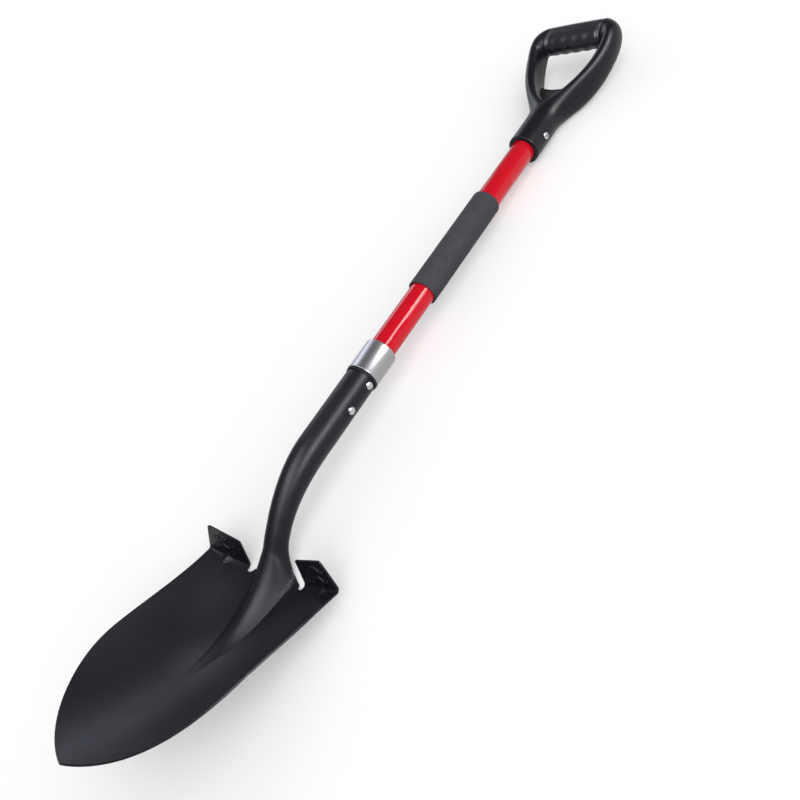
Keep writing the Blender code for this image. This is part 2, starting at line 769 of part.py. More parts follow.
def make_grip():
    """The soft sleeve on the crossbar, with swells between the fingers underneath."""
    sides = 24
    slices = 20
    bm = bmesh.new()
    bmesh.ops.create_cone(bm, cap_ends=True, segments=sides, radius1=1.0, radius2=1.0, depth=2.0)
    long_edges = [edge for edge in bm.edges if abs(edge.verts[0].co.z - edge.verts[1].co.z) > 1.0]
    bmesh.ops.subdivide_edges(bm, edges=long_edges, cuts=slices - 1)
    for vert in bm.verts:
        across, depth, share = vert.co
        under = max(-across, 0.0) ** 2
        swell = FINGER_SWELL * math.cos(math.pi * FINGER_COUNT * share) * (1 - share ** 4) * under
        high = across * (GRIP_HEIGHT / 2 * (1 + GRIP_BELLY * (1 - share * share)) + swell)
        vert.co = bent(share * GRIP_LENGTH / 2, CROSSBAR_ALONG + high, depth * GRIP_DEPTH / 2)
    bmesh.ops.recalc_face_normals(bm, faces=bm.faces)
    grip = add_bmesh("grip_sleeve", bm, SOFT_GRIP)
    core = bent(0.0, CROSSBAR_ALONG, 0.0)
    bore = rod("grip_bore", CORE_DIAMETER / 2 + GAP, -GRIP_LENGTH, GRIP_LENGTH, "X", 32,
               (core.y, core.z), cutters)
    combine(grip, bore)
    return grip


# Laying it down

def lowest(points, turn):
    """The point that is lowest once the shovel has turned about X."""
    return min(points, key=lambda p: p.y * math.sin(turn) + p.z * math.cos(turn))


def lay_down():
    """Turn the upright shovel on its back so that blade and handle touch the floor."""
    bpy.context.view_layer.update()
    graph = bpy.context.evaluated_depsgraph_get()
    clouds = {}
    for obj in parts.objects:
        if obj.type == "MESH":
            shape = obj.evaluated_get(graph)
            mesh = shape.to_mesh()
            clouds[obj.name] = [obj.matrix_world @ vert.co for vert in mesh.vertices]
            shape.to_mesh_clear()
    turn = -math.pi / 2
    for _ in range(8):
        heel = lowest(clouds["blade"], turn)
        along = lowest(clouds["handle_yoke"], turn) - heel
        turn = -math.atan2(along.z, along.y)
    root.rotation_euler.x = turn
    every = [point for cloud in clouds.values() for point in cloud]
    ys = [p.y * math.cos(turn) - p.z * math.sin(turn) for p in every]
    zs = [p.y * math.sin(turn) + p.z * math.cos(turn) for p in every]
    root.location = (0.0, -(min(ys) + max(ys)) / 2, -min(zs))
    bpy.context.view_layer.update()


blade = make_blade()
make_collar()
make_collar_ring()
tube, lower_plug, upper_plug = make_shaft()
make_sleeve()
yoke = make_yoke()
make_grip()
for label, height in zip(("upper", "lower"), RIVET_HEIGHTS):
    make_rivet(f"socket_rivet_{label}", height)
make_screw()
bore_for_fasteners(blade, tube, lower_plug, upper_plug, yoke)
lay_down()
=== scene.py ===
"""Garden shovel on a pale floor: what shows of it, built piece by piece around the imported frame.

Each piece is made upright, with the shaft's axis on Z, heights counted from the collar's top
edge, and the hollow front of the blade towards -Y. It is then laid down as the frame lies.
"""
import math

import bmesh
import bpy
from mathutils import Matrix, Quaternion, Vector


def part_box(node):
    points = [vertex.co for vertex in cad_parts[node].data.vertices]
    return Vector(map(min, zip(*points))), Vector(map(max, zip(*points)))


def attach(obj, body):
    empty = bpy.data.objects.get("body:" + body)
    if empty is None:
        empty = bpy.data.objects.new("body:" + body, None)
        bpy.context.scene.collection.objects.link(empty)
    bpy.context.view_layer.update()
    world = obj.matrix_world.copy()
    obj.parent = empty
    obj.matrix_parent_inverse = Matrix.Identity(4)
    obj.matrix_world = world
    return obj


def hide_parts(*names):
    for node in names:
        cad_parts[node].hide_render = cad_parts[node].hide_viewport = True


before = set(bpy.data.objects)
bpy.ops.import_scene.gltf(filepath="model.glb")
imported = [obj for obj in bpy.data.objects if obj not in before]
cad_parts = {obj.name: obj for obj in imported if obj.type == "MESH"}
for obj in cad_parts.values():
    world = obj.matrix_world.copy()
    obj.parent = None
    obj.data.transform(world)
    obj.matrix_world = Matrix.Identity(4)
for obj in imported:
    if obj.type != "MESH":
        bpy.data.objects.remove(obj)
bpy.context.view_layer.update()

# Stamped sheet: blade, foot treads, neck and rolled socket
# One piece of 2 mm spring steel, cut, dished in a press, folded over at the heel and
# rolled round the shaft's end, then powder-coated near-black in a satin finish.

SHEET = 0.002
TUBE_R = 0.016
SOCKET_CLEARANCE = 0.0005
SOCKET_MID_R = TUBE_R + SOCKET_CLEARANCE + SHEET / 2
SOCKET_OUTER_R = SOCKET_MID_R + SHEET / 2
SOCKET_MOUTH = 0.006
SOCKET_STRAIGHT = 0.145
SEAM_GAP = 0.0012
NECK_RADIUS = 0.182
NECK_ANGLE = math.radians(34)
NECK_WAIST = 0.0275
NECK_OPENING = math.radians(50)
NECK_OPENING_POWER = 4
ROOT_START = -0.002
ROOT_PULL = 0.8
ROOT_NECK_PULL = 1.15
ROOT_TAPER = 2.7
ROOT_SMOOTHINGS = 16
SMOOTHED_BELOW_ROOT = 3
SMOOTHED_ABOVE_ROOT = 4
CUT_EDGE_ROUND = 0.0005
CUT_EDGE_SHARPEST = math.radians(50)

BLADE_LEAN = math.radians(16.1)
HEEL_BELOW_TOP = 0.2761
HEEL_SETBACK = 0.0488
BLADE_LENGTH = 0.27558
FOLD_WIDTH = 0.2103
SIDE_WIDTH = 0.206
FOLD_FLARE = 0.040
ARCH_START = 0.138
ARCH_RISE = BLADE_LENGTH - ARCH_START
ARCH_RADIUS = ((SIDE_WIDTH / 2) ** 2 + ARCH_RISE ** 2) / SIDE_WIDTH
ARCH_ANGLE = math.asin(ARCH_RISE / ARCH_RADIUS)
RIM_CROWN = 0.007
RIM_CROWN_AT = 0.150
RIM_POWER = 2.5
HEEL_DEPTH = 0.017
DISH_DEPTH = 0.0275
DISH_POWER = 2.2
FROG_LENGTH = 0.148
FROG_HEIGHT = 0.034
FROG_HALF_WIDTH = 0.0275
FROG_TAPER = 0.77
FROG_FALL = 1.8
FROG_ROOT_FALL = 6
FROG_ROOT_SHARE = 0.45
FROG_ROUNDING = 1.3
FROG_SAG = 0.0042

NOTCH_INNER = 0.0365
NOTCH_OUTER = 0.046
NOTCH_DEPTH = 0.0042
FOLD_RADIUS = 0.005
TREAD_SETBACK = 0.001
TREAD_SLANT = 0.0035
TREAD_HEIGHT = 0.03498
TREAD_TOP_INSET = 0.0136
TREAD_INNER_CORNER = 0.0016
TREAD_OUTER_CORNER = 0.0028
TREAD_EASE = 0.6
GUSSET_X = 0.0785
GUSSET_HALF_WIDTH = 0.0042
GUSSET_RISE = 0.0055
MARK_RISE = 0.0016
MARK_HALF_WIDTH = 0.0012
MARK_FLATNESS = 4
MARK_ZONE = (0.056, 0.096)
MARK_WAVE = 0.017
# Each wavy mark: its first and last x, its height on the plate, its swing and a crest's x
WAVY_MARKS = ((0.069, 0.0885, 0.0202, 0.0022, 0.077), (0.071, 0.092, 0.0078, 0.0019, 0.079))
# Each round mark: its x, its height on the plate and its radius
ROUND_MARKS = ((0.062, 0.0095, 0.0017), (0.066, -0.002, 0.0015))

FROG_CELLS = 32
NOTCH_CELLS = 10
TREAD_CELLS = 64
ARCH_ROWS = 44
SIDE_ROWS = 44
FOLD_ROWS = 8
FLAP_ROWS = 34
ROOT_ROWS = 20
NECK_ROWS = 20
SOCKET_ROWS = 12
HALF_COLUMNS = FROG_CELLS + NOTCH_CELLS + TREAD_CELLS
HEEL_ROW = ARCH_ROWS + SIDE_ROWS
TREAD_ROWS = FOLD_ROWS + FLAP_ROWS
SHEET_ROWS = HEEL_ROW + ROOT_ROWS + NECK_ROWS + SOCKET_ROWS
SMOOTHED_ROWS = (HEEL_ROW - SMOOTHED_BELOW_ROOT, HEEL_ROW + ROOT_ROWS + SMOOTHED_ABOVE_ROOT)
MERGE_DISTANCE = 0.00001
SHADING_SHARPEST = math.radians(40)

# Here and below, a finish's patterns are given in clouds per metre, its bump as a depth and a strength
COAT_DARK = (0.0048, 0.0055, 0.0092)
COAT_LIGHT = (0.0066, 0.0075, 0.0120)
COAT_ROUGHNESS = (0.38, 0.42)
COAT_SPECULAR = 0.2
COAT_CLOUDS = 14.0
COAT_WEAR = 60.0
COAT_PEEL = 900.0
COAT_BUMP = (0.00012, 0.5)

LOWER_PLUG_CENTRE = -0.0775
shaft_low = sum(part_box("lower_core_plug"), Vector()) / 2
shaft_high = sum(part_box("upper_core_plug"), Vector()) / 2
SHAFT_WAY = (shaft_high - shaft_low).normalized()
FRONT_WAY = Vector((1, 0, 0)).cross(SHAFT_WAY)
COLLAR_TOP = shaft_low - SHAFT_WAY * LOWER_PLUG_CENTRE
lying = Matrix(((1, 0, 0), -FRONT_WAY, SHAFT_WAY)).transposed().to_4x4()
lying.translation = COLLAR_TOP


def blade_point(x, along, height):
    """A point in the blade's own axes: across, from the fold to the tip, and up from the rim."""
    front = -HEEL_SETBACK + along * math.sin(BLADE_LEAN) + height * math.cos(BLADE_LEAN)
    up = -HEEL_BELOW_TOP - along * math.cos(BLADE_LEAN) + height * math.sin(BLADE_LEAN)
    return Vector((x, -front, up))


def half_width(along):
    """Half the blade's width: a flare at the fold, straight sides, then a pointed arch."""
    if along <= ARCH_START:
        flare = min(max(1 - along / FOLD_FLARE, 0.0), 1.0)
        return (SIDE_WIDTH + (FOLD_WIDTH - SIDE_WIDTH) * flare ** 2) / 2
    rise = along - ARCH_START
    return SIDE_WIDTH / 2 - ARCH_RADIUS + math.sqrt(max(ARCH_RADIUS ** 2 - rise ** 2, 0.0))


def rim_height(along):
    """How far the blade's rim crowns above a straight line from the fold to the tip."""
    share = min(max(along / BLADE_LENGTH, 0.0), 1.0)
    share **= math.log(0.5) / math.log(RIM_CROWN_AT / BLADE_LENGTH)
    return RIM_CROWN * math.sin(math.pi * share) ** RIM_POWER


def floor_height(along):
    """The blade's middle line, a parabola to the tip that sags a little along the frog."""
    bend = (HEEL_DEPTH * (1 - FROG_LENGTH / BLADE_LENGTH) - DISH_DEPTH)
    bend /= FROG_LENGTH * (FROG_LENGTH - BLADE_LENGTH)
    slope = HEEL_DEPTH / BLADE_LENGTH - bend * BLADE_LENGTH
    sag = FROG_SAG * math.sin(math.pi * min(max(along / FROG_LENGTH, 0.0), 1.0)) ** 2
    return -HEEL_DEPTH + slope * along + bend * along * along - sag


def dish_height(x, along):
    """The dish alone, from the rim on one side through the middle line to the other."""
    rim = rim_height(along)
    share = min(abs(x) / max(half_width(along), 0.0001), 1.0)
    return rim + (floor_height(along) - rim) * (1 - share ** DISH_POWER)


def frog_height(x, along):
    """How far the rib from the neck stands above the dish: a round horn."""
    share = min(along / FROG_LENGTH, 1.0)
    width = FROG_HALF_WIDTH * (1 - share) ** FROG_TAPER
    if abs(x) >= width:
        return 0.0
    arch = (1 - (x / width) ** 2) ** FROG_ROUNDING
    crest = FROG_ROOT_SHARE * (1 - share) ** FROG_ROOT_FALL
    crest += (1 - FROG_ROOT_SHARE) * (1 - share) ** FROG_FALL
    return FROG_HEIGHT * crest * arch


def dished_point(x, along):
    """A point of the blade with the frog on its dish."""
    return blade_point(x, along, dish_height(x, along) + frog_height(x, along))


def heel_x(step):
    """Where a column of the sheet crosses the fold, from the middle outwards."""
    if step <= FROG_CELLS:
        return NOTCH_INNER * step / FROG_CELLS
    if step <= FROG_CELLS + NOTCH_CELLS:
        turn = math.pi * (step - FROG_CELLS) / NOTCH_CELLS
        return NOTCH_INNER + (NOTCH_OUTER - NOTCH_INNER) * (1 - math.cos(turn)) / 2
    share = (step - FROG_CELLS - NOTCH_CELLS) / TREAD_CELLS
    share -= TREAD_EASE * math.sin(math.tau * share) / math.tau
    return NOTCH_OUTER + (FOLD_WIDTH / 2 - NOTCH_OUTER) * share


def tread_setback(x):
    """How far a tread's plate stands behind the fold line: more beside the neck."""
    share = (x - NOTCH_OUTER) / (FOLD_WIDTH / 2 - NOTCH_OUTER)
    return TREAD_SETBACK + TREAD_SLANT * (1 - share)


def fold_radius(x):
    """The fold's radius, larger where the pressed gusset fills the corner."""
    return FOLD_RADIUS + GUSSET_RISE * math.exp(-((x - GUSSET_X) / GUSSET_HALF_WIDTH) ** 2)


def heel_along(step):
    """Where a column of the blade ends: at the root, the notch's bottom or the fold."""
    if step <= FROG_CELLS:
        return ROOT_START
    if step < FROG_CELLS + NOTCH_CELLS:
        share = (step - FROG_CELLS) / NOTCH_CELLS
        tread_start = FOLD_RADIUS - tread_setback(NOTCH_OUTER)
        rise = (tread_start - ROOT_START) * (1 - math.cos(math.pi * share)) / 2
        return ROOT_START + rise + NOTCH_DEPTH * math.sin(math.pi * share)
    return fold_radius(heel_x(step)) - tread_setback(heel_x(step))


def blade_place(step, side, row):
    """A point of the dished blade, its rows spread along the arch and then the sides."""
    if row <= ARCH_ROWS:
        along = ARCH_START + ARCH_RADIUS * math.sin(ARCH_ANGLE * (1 - row / ARCH_ROWS))
    else:
        along = ARCH_START + (heel_along(step) - ARCH_START) * (row - ARCH_ROWS) / SIDE_ROWS
    share = heel_x(step) / (FOLD_WIDTH / 2)
    return dished_point(side * share * half_width(along), along)


def mark_rise(x, height):
    """How far the marks pressed into a tread stand out at a point of its plate."""
    rise = 0.0
    for first, last, level, swing, crest in WAVY_MARKS:
        nearest = min(max(x, first), last)
        line = level + swing * math.cos(math.tau * (nearest - crest) / MARK_WAVE)
        slope = swing * math.tau / MARK_WAVE * math.sin(math.tau * (nearest - crest) / MARK_WAVE)
        away = math.hypot(x - nearest, (height - line) / math.hypot(1, slope))
        rise = max(rise, MARK_RISE * math.exp(-(away / MARK_HALF_WIDTH) ** MARK_FLATNESS))
    for centre_x, centre_height, radius in ROUND_MARKS:
        away = math.hypot(x - centre_x, height - centre_height)
        rise = max(rise, MARK_RISE * math.exp(-(away / radius) ** MARK_FLATNESS))
    return rise


def tread_place(step, side, row):
    """The flap of a foot tread: a round fold, then a flat plate up to its top edge."""
    base_x = heel_x(step)
    base = dish_height(base_x, 0.0)
    radius = fold_radius(base_x)
    if row <= FOLD_ROWS:
        angle = math.pi / 2 * row / FOLD_ROWS
        along = radius * (1 - math.sin(angle)) - tread_setback(base_x)
        return blade_point(side * base_x, along, base + radius * (1 - math.cos(angle)))
    share = (row - FOLD_ROWS) / FLAP_ROWS
    width_share = (base_x - NOTCH_OUTER) / (FOLD_WIDTH / 2 - NOTCH_OUTER)
    corner = 0.0
    for rounding, from_end in ((TREAD_INNER_CORNER, base_x - NOTCH_OUTER),
                               (TREAD_OUTER_CORNER, FOLD_WIDTH / 2 - base_x)):
        if from_end < rounding:
            corner = rounding - math.sqrt(max(rounding ** 2 - (rounding - from_end) ** 2, 0.0))
    level = dish_height(NOTCH_OUTER, 0.0) * (1 - width_share) + TREAD_HEIGHT
    rise = (level - corner - radius - base) * share
    height = base + radius + rise
    x = base_x - TREAD_TOP_INSET * width_share * rise / (TREAD_HEIGHT - radius)
    return blade_point(side * x, mark_rise(x, height) - tread_setback(x), height)


def neck_axis(turn):
    """Centre, direction and front normal of the neck where it has turned by an angle."""
    centre_up = -SOCKET_STRAIGHT - NECK_RADIUS * math.sin(turn)
    centre_front = -NECK_RADIUS * (1 - math.cos(turn))
    down = Vector((0.0, math.sin(turn), -math.cos(turn)))
    front = Vector((0.0, -math.cos(turn), -math.sin(turn)))
    return Vector((0.0, -centre_front, centre_up)), down, front


def neck_ring(step, side, turn):
    """A point of the rolled neck, from the front round to the seam at the back."""
    centre, down, front = neck_axis(turn)
    share = min(turn / NECK_ANGLE, 1.0)
    radius = SOCKET_MID_R + (NECK_WAIST / 2 - SHEET / 2 - SOCKET_MID_R) * math.sin(math.pi / 2 * share) ** 2
    widest = math.pi - SEAM_GAP / 2 / radius - NECK_OPENING * share ** NECK_OPENING_POWER
    angle = widest * step / FROG_CELLS
    return centre + radius * (Vector((side, 0, 0)) * math.sin(angle) + front * math.cos(angle))


def root_place(step, side, row):
    """The flared root between the blade and the neck, a smooth curve down each column."""
    share = row / ROOT_ROWS
    start = blade_place(step, side, HEEL_ROW)
    end = neck_ring(step, side, NECK_ANGLE)
    reach = (end - start).length
    start_pull = (start - dished_point(start.x, ROOT_START + SHEET)).normalized() * ROOT_PULL * reach
    end_pull = -neck_axis(NECK_ANGLE)[1] * ROOT_NECK_PULL * reach
    a = 2 * share ** 3 - 3 * share ** 2 + 1
    b = share ** 3 - 2 * share ** 2 + share
    c = 3 * share ** 2 - 2 * share ** 3
    d = share ** 3 - share ** 2
    point = a * start + b * start_pull + c * end + d * end_pull
    point.x = end.x + (start.x - end.x) * (1 - share) ** ROOT_TAPER
    return point


def sheet_place(column, row):
    """Any point of the one stamped sheet."""
    step = abs(column - HALF_COLUMNS)
    side = 1 if column >= HALF_COLUMNS else -1
    if row <= HEEL_ROW:
        return blade_place(step, side, row)
    if step > FROG_CELLS:
        return tread_place(step, side, min(row - HEEL_ROW, TREAD_ROWS))
    row -= HEEL_ROW
    if row <= ROOT_ROWS:
        return root_place(step, side, row)
    row -= ROOT_ROWS
    if row <= NECK_ROWS:
        return neck_ring(step, side, NECK_ANGLE * (1 - row / NECK_ROWS))
    rise = (SOCKET_STRAIGHT - SOCKET_MOUTH) * (row - NECK_ROWS) / SOCKET_ROWS
    return neck_ring(step, side, 0.0) + Vector((0.0, 0.0, rise))


def sheet_keeps(column, row):
    """Cells that exist: all of the blade, then only the neck and the two treads."""
    if row < HEEL_ROW:
        return True
    step = column - HALF_COLUMNS if column >= HALF_COLUMNS else HALF_COLUMNS - 1 - column
    if step < FROG_CELLS:
        return True
    return step >= FROG_CELLS + NOTCH_CELLS and row < HEEL_ROW + TREAD_ROWS


def lay_down(name, bm, material):
    """Lays a finished mesh down where its piece belongs on the shovel."""
    bmesh.ops.transform(bm, matrix=lying, verts=bm.verts)
    mesh = bpy.data.meshes.new(name)
    bm.to_mesh(mesh)
    bm.free()
    mesh.shade_smooth()
    mesh.set_sharp_from_angle(angle=SHADING_SHARPEST)
    mesh.materials.append(material)
    piece = bpy.data.objects.new(name, mesh)
    bpy.context.scene.collection.objects.link(piece)
    return piece


def new_finish(name, colour, roughness, metallic=0.0, specular=0.5):
    """A material with its plain values on the shader's own sockets."""
    material = bpy.data.materials.new(name)
    material.use_nodes = True
    shader = material.node_tree.nodes["Principled BSDF"]
    shader.inputs["Base Color"].default_value = (*colour, 1.0)
    shader.inputs["Roughness"].default_value = roughness
    shader.inputs["Metallic"].default_value = metallic
    shader.inputs["Specular IOR Level"].default_value = specular
    return material


def add_node(material, kind, inputs=None, **settings):
    """Adds a shader node and sets or links its sockets."""
    node = material.node_tree.nodes.new("ShaderNode" + kind)
    for key, value in settings.items():
        setattr(node, key, value)
    for key, value in (inputs or {}).items():
        if isinstance(value, bpy.types.NodeSocket):
            material.node_tree.links.new(value, node.inputs[key])
        else:
            node.inputs[key].default_value = value
    return node


def feed(material, socket, value):
    """Links a value to a socket of the material's shader."""
    material.node_tree.links.new(value, material.node_tree.nodes["Principled BSDF"].inputs[socket])


def along_shaft(material, stretch=(1.0, 1.0, 1.0)):
    """Coordinates of the shovel itself: Z along the shaft, origin at the collar's top."""
    coordinates = add_node(material, "TexCoord").outputs["Object"]
    upright = add_node(material, "Mapping", {"Vector": coordinates}, vector_type="TEXTURE")
    upright.inputs["Location"].default_value = lying.translation
    upright.inputs["Rotation"].default_value = lying.to_euler()
    return add_node(material, "Mapping", {"Vector": upright.outputs[0], "Scale": stretch}).outputs[0]


def noise(material, coordinates, scale=1.0, detail=2.0, roughness=0.5):
    """A cloudy pattern: how many clouds fit in a metre, how fine and how rough they are."""
    return add_node(material, "TexNoise", {"Vector": coordinates, "Scale": scale, "Detail": detail,
                                           "Roughness": roughness}).outputs["Fac"]


def spread(material, value, low, high, start=0.3, end=0.7):
    """Spreads a pattern's values from low to high."""
    return add_node(material, "MapRange", {"Value": value, "From Min": start, "From Max": end,
                                           "To Min": low, "To Max": high}).outputs[0]


def blend_colours(material, value, first, second, start=0.3, end=0.7):
    """Goes from one colour to another with a pattern's value."""
    ramp = add_node(material, "ValToRGB", {"Fac": value})
    ramp.color_ramp.elements[0].position = start
    ramp.color_ramp.elements[0].color = (*first, 1.0)
    ramp.color_ramp.elements[1].position = end
    ramp.color_ramp.elements[1].color = (*second, 1.0)
    return ramp.outputs["Color"]


def bumped(material, value, depth, strength=1.0, under=None):
    """The surface normal raised by a pattern, over another bump if there is one."""
    inputs = {"Height": value, "Distance": depth, "Strength": strength}
    if under is not None:
        inputs["Normal"] = under
    return add_node(material, "Bump", inputs).outputs["Normal"]


powder_coat = new_finish("powder_coat", COAT_DARK, COAT_ROUGHNESS[0], specular=COAT_SPECULAR)
place = along_shaft(powder_coat)
peel = noise(powder_coat, place, COAT_PEEL, detail=1.0)
cloudy = noise(powder_coat, place, COAT_CLOUDS, detail=3.0)
worn = noise(powder_coat, place, COAT_WEAR, detail=4.0)
feed(powder_coat, "Base Color", blend_colours(powder_coat, cloudy, COAT_DARK, COAT_LIGHT))
feed(powder_coat, "Roughness", spread(powder_coat, worn, *COAT_ROUGHNESS))
feed(powder_coat, "Normal", bumped(powder_coat, peel, *COAT_BUMP))

sheet = bmesh.new()
bmesh.ops.create_grid(sheet, x_segments=2 * HALF_COLUMNS, y_segments=SHEET_ROWS, size=1.0)
for vert in sheet.verts:
    vert.co = (round((vert.co.x + 1) * HALF_COLUMNS), round((vert.co.y + 1) / 2 * SHEET_ROWS), 0.0)
scrap = []
marked = {}
for face in sheet.faces:
    column = min(vert.co.x for vert in face.verts)
    row = min(vert.co.y for vert in face.verts)
    if not sheet_keeps(column, row):
        scrap.append(face)
    elif row >= HEEL_ROW and MARK_ZONE[0] < heel_x(abs(column - HALF_COLUMNS)) < MARK_ZONE[1]:
        marked.update(dict.fromkeys(face.edges))
bmesh.ops.delete(sheet, geom=scrap, context="FACES")
bmesh.ops.subdivide_edges(sheet, edges=list(marked), cuts=1, use_grid_fill=True)
shoulders = [vert for vert in sheet.verts if abs(vert.co.x - HALF_COLUMNS) < FROG_CELLS - 1
             and SMOOTHED_ROWS[0] < vert.co.y < SMOOTHED_ROWS[1]]
for vert in sheet.verts:
    vert.co = sheet_place(vert.co.x, vert.co.y)
for _ in range(ROOT_SMOOTHINGS):
    bmesh.ops.smooth_vert(sheet, verts=shoulders, factor=0.5, use_axis_x=True, use_axis_y=True,
                          use_axis_z=True)
bmesh.ops.remove_doubles(sheet, verts=sheet.verts, dist=MERGE_DISTANCE)
blade = lay_down("blade_sheet", sheet, powder_coat)
wall = blade.modifiers.new("sheet", "SOLIDIFY")
wall.thickness = SHEET
wall.offset = 0.0
wall.use_even_offset = True
edges = blade.modifiers.new("rounded_edges", "BEVEL")
edges.width = CUT_EDGE_ROUND
edges.segments = 2
edges.limit_method = "ANGLE"
edges.angle_limit = CUT_EDGE_SHARPEST
edges.harden_normals = True
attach(blade, "root")
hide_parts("blade")

# Shaft
# A glass-fibre tube drawn through a die, its resin dyed red and glossy, with fine streaks
# of the fibres lengthways. A turned wooden plug stiffens each end and stays hidden.

TUBE_WALL = 0.0025
TUBE_IN_SOCKET = 0.125
TUBE_TOP = 0.4207
TUBE_EDGE = 0.0004
TURNED_SIDES = 96
TUBE_RED = (0.460, 0.0035, 0.011)
TUBE_RED_LIGHT = (0.520, 0.005, 0.015)
TUBE_ROUGHNESS = (0.030, 0.040)
TUBE_SPECULAR = 0.22
FIBRE_STREAKS = (1600.0, 1600.0, 2.0)
WOOD_LIGHT = (0.50, 0.34, 0.19)
WOOD_DARK = (0.36, 0.22, 0.11)
WOOD_ROUGHNESS = 0.7
WOOD_GRAIN = (260.0, 60.0, 5.0)
WOOD_BUMP = (0.0002, 0.4)


def turn_on_shaft(profile, edge=0.0, sharpest=50):
    """A ring round the shaft, turned from a closed (radius, height) outline, its corners rounded."""
    bm = bmesh.new()
    row = [bm.verts.new((radius, 0.0, height)) for radius, height in profile]
    outline = [bm.edges.new(pair) for pair in zip(row, row[1:] + row[:1])]
    bmesh.ops.spin(bm, geom=row + outline, cent=(0, 0, 0), axis=(0, 0, 1), dvec=(0, 0, 0),
                   angle=math.tau, steps=TURNED_SIDES, use_merge=True, use_duplicate=False)
    bmesh.ops.remove_doubles(bm, verts=bm.verts, dist=MERGE_DISTANCE)
    bmesh.ops.recalc_face_normals(bm, faces=bm.faces)
    if edge:
        sharp = [e for e in bm.edges if e.calc_face_angle(0.0) > math.radians(sharpest)]
        bmesh.ops.bevel(bm, geom=sharp, offset=edge, offset_type="OFFSET", affect="EDGES", segments=3,
                        profile=0.5, material=-1)
    return bm


red_glass_fibre = new_finish("red_glass_fibre", TUBE_RED, TUBE_ROUGHNESS[0], specular=TUBE_SPECULAR)
streaks = noise(red_glass_fibre, along_shaft(red_glass_fibre, FIBRE_STREAKS))
feed(red_glass_fibre, "Base Color", blend_colours(red_glass_fibre, streaks, TUBE_RED, TUBE_RED_LIGHT))
feed(red_glass_fibre, "Roughness", spread(red_glass_fibre, streaks, *TUBE_ROUGHNESS))

tube = lay_down("shaft", turn_on_shaft([
    (TUBE_R - TUBE_WALL, TUBE_TOP),
    (TUBE_R, TUBE_TOP),
    (TUBE_R, -TUBE_IN_SOCKET),
    (TUBE_R - TUBE_WALL, -TUBE_IN_SOCKET),
], TUBE_EDGE), red_glass_fibre)
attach(tube, "root")
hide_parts("shaft_tube")

plug_wood = new_finish("plug_wood", WOOD_LIGHT, WOOD_ROUGHNESS)
grain = noise(plug_wood, along_shaft(plug_wood, WOOD_GRAIN), detail=6.0, roughness=0.6)
feed(plug_wood, "Base Color", blend_colours(plug_wood, grain, WOOD_DARK, WOOD_LIGHT))
feed(plug_wood, "Normal", bumped(plug_wood, grain, *WOOD_BUMP))
for node in ("lower_core_plug", "upper_core_plug"):
    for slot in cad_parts[node].material_slots:
        slot.material = plug_wood

# Rivets
# Two plated steel tubular rivets through socket, tube and plug. Each has its end rolled
# over on the side that shows and a plain dome on the other.

RIVET_HEIGHTS = {"upper": -0.053, "lower": -0.091}
RIVET_SHANK_R = 0.0025
RIVET_HEAD_R = 0.00475
RIVET_HEAD_HEIGHT = 0.0024
RIVET_DIMPLE = 0.06
RIVET_DIMPLE_SHARE = 0.28
ROLLED_STEPS = 16
DOME_STEPS = 8
PIN_SIDES = 48
SEAT_GAP = 0.0003
PLATED_COLOUR = (0.50, 0.50, 0.52)
PLATED_ROUGHNESS = (0.16, 0.32)
PLATED_GRAIN = 1500.0
PLATED_BUMP = (0.00003, 0.4)

bright_steel = new_finish("bright_steel", PLATED_COLOUR, PLATED_ROUGHNESS[0], metallic=1.0)
rubbed = noise(bright_steel, along_shaft(bright_steel), PLATED_GRAIN, detail=3.0)
feed(bright_steel, "Roughness", spread(bright_steel, rubbed, *PLATED_ROUGHNESS))
feed(bright_steel, "Normal", bumped(bright_steel, rubbed, *PLATED_BUMP))


def turn_pin(stations, height):
    """A pin across the shaft, turned about its own axis from (place, radius) stations."""
    bm = bmesh.new()
    row = [bm.verts.new((place, radius, height)) for place, radius in stations]
    row_edges = [bm.edges.new(pair) for pair in zip(row, row[1:])]
    bmesh.ops.spin(bm, geom=row + row_edges, cent=(0, 0, height), axis=(1, 0, 0), dvec=(0, 0, 0),
                   angle=math.tau, steps=PIN_SIDES, use_merge=True, use_duplicate=False)
    bmesh.ops.remove_doubles(bm, verts=bm.verts, dist=MERGE_DISTANCE)
    bmesh.ops.recalc_face_normals(bm, faces=bm.faces)
    return bm


def rolled_end(seat):
    """Stations of a rivet's rolled end: a low dome with a shallow dimple in its middle."""
    rolled = []
    for i in range(ROLLED_STEPS + 1):
        share = i / ROLLED_STEPS
        dimple = RIVET_DIMPLE * math.exp(-(share / RIVET_DIMPLE_SHARE) ** 2)
        rolled.append((seat + RIVET_HEAD_HEIGHT * (math.sqrt(1 - share ** 2) - dimple), RIVET_HEAD_R * share))
    return rolled


def plain_dome(seat):
    """Stations of a rivet's plain head on the far side."""
    dome = []
    for i in range(DOME_STEPS + 1):
        angle = math.pi / 2 * i / DOME_STEPS
        dome.append((-seat - RIVET_HEAD_HEIGHT * math.sin(angle), RIVET_HEAD_R * math.cos(angle)))
    return dome


for label, height in RIVET_HEIGHTS.items():
    rivet_seat = SOCKET_OUTER_R + SEAT_GAP
    rivet = lay_down(f"rivet_{label}", turn_pin(
        rolled_end(rivet_seat) + [(rivet_seat, RIVET_SHANK_R), (-rivet_seat, RIVET_SHANK_R)]
        + plain_dome(rivet_seat), height), bright_steel)
    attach(rivet, "root")
    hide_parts(f"socket_rivet_{label}")

# Collar and its ring
# A drawn steel cup, polished on a lathe and closed in over the tube, hides the socket's
# mouth. A black nylon ring fills the step below it.

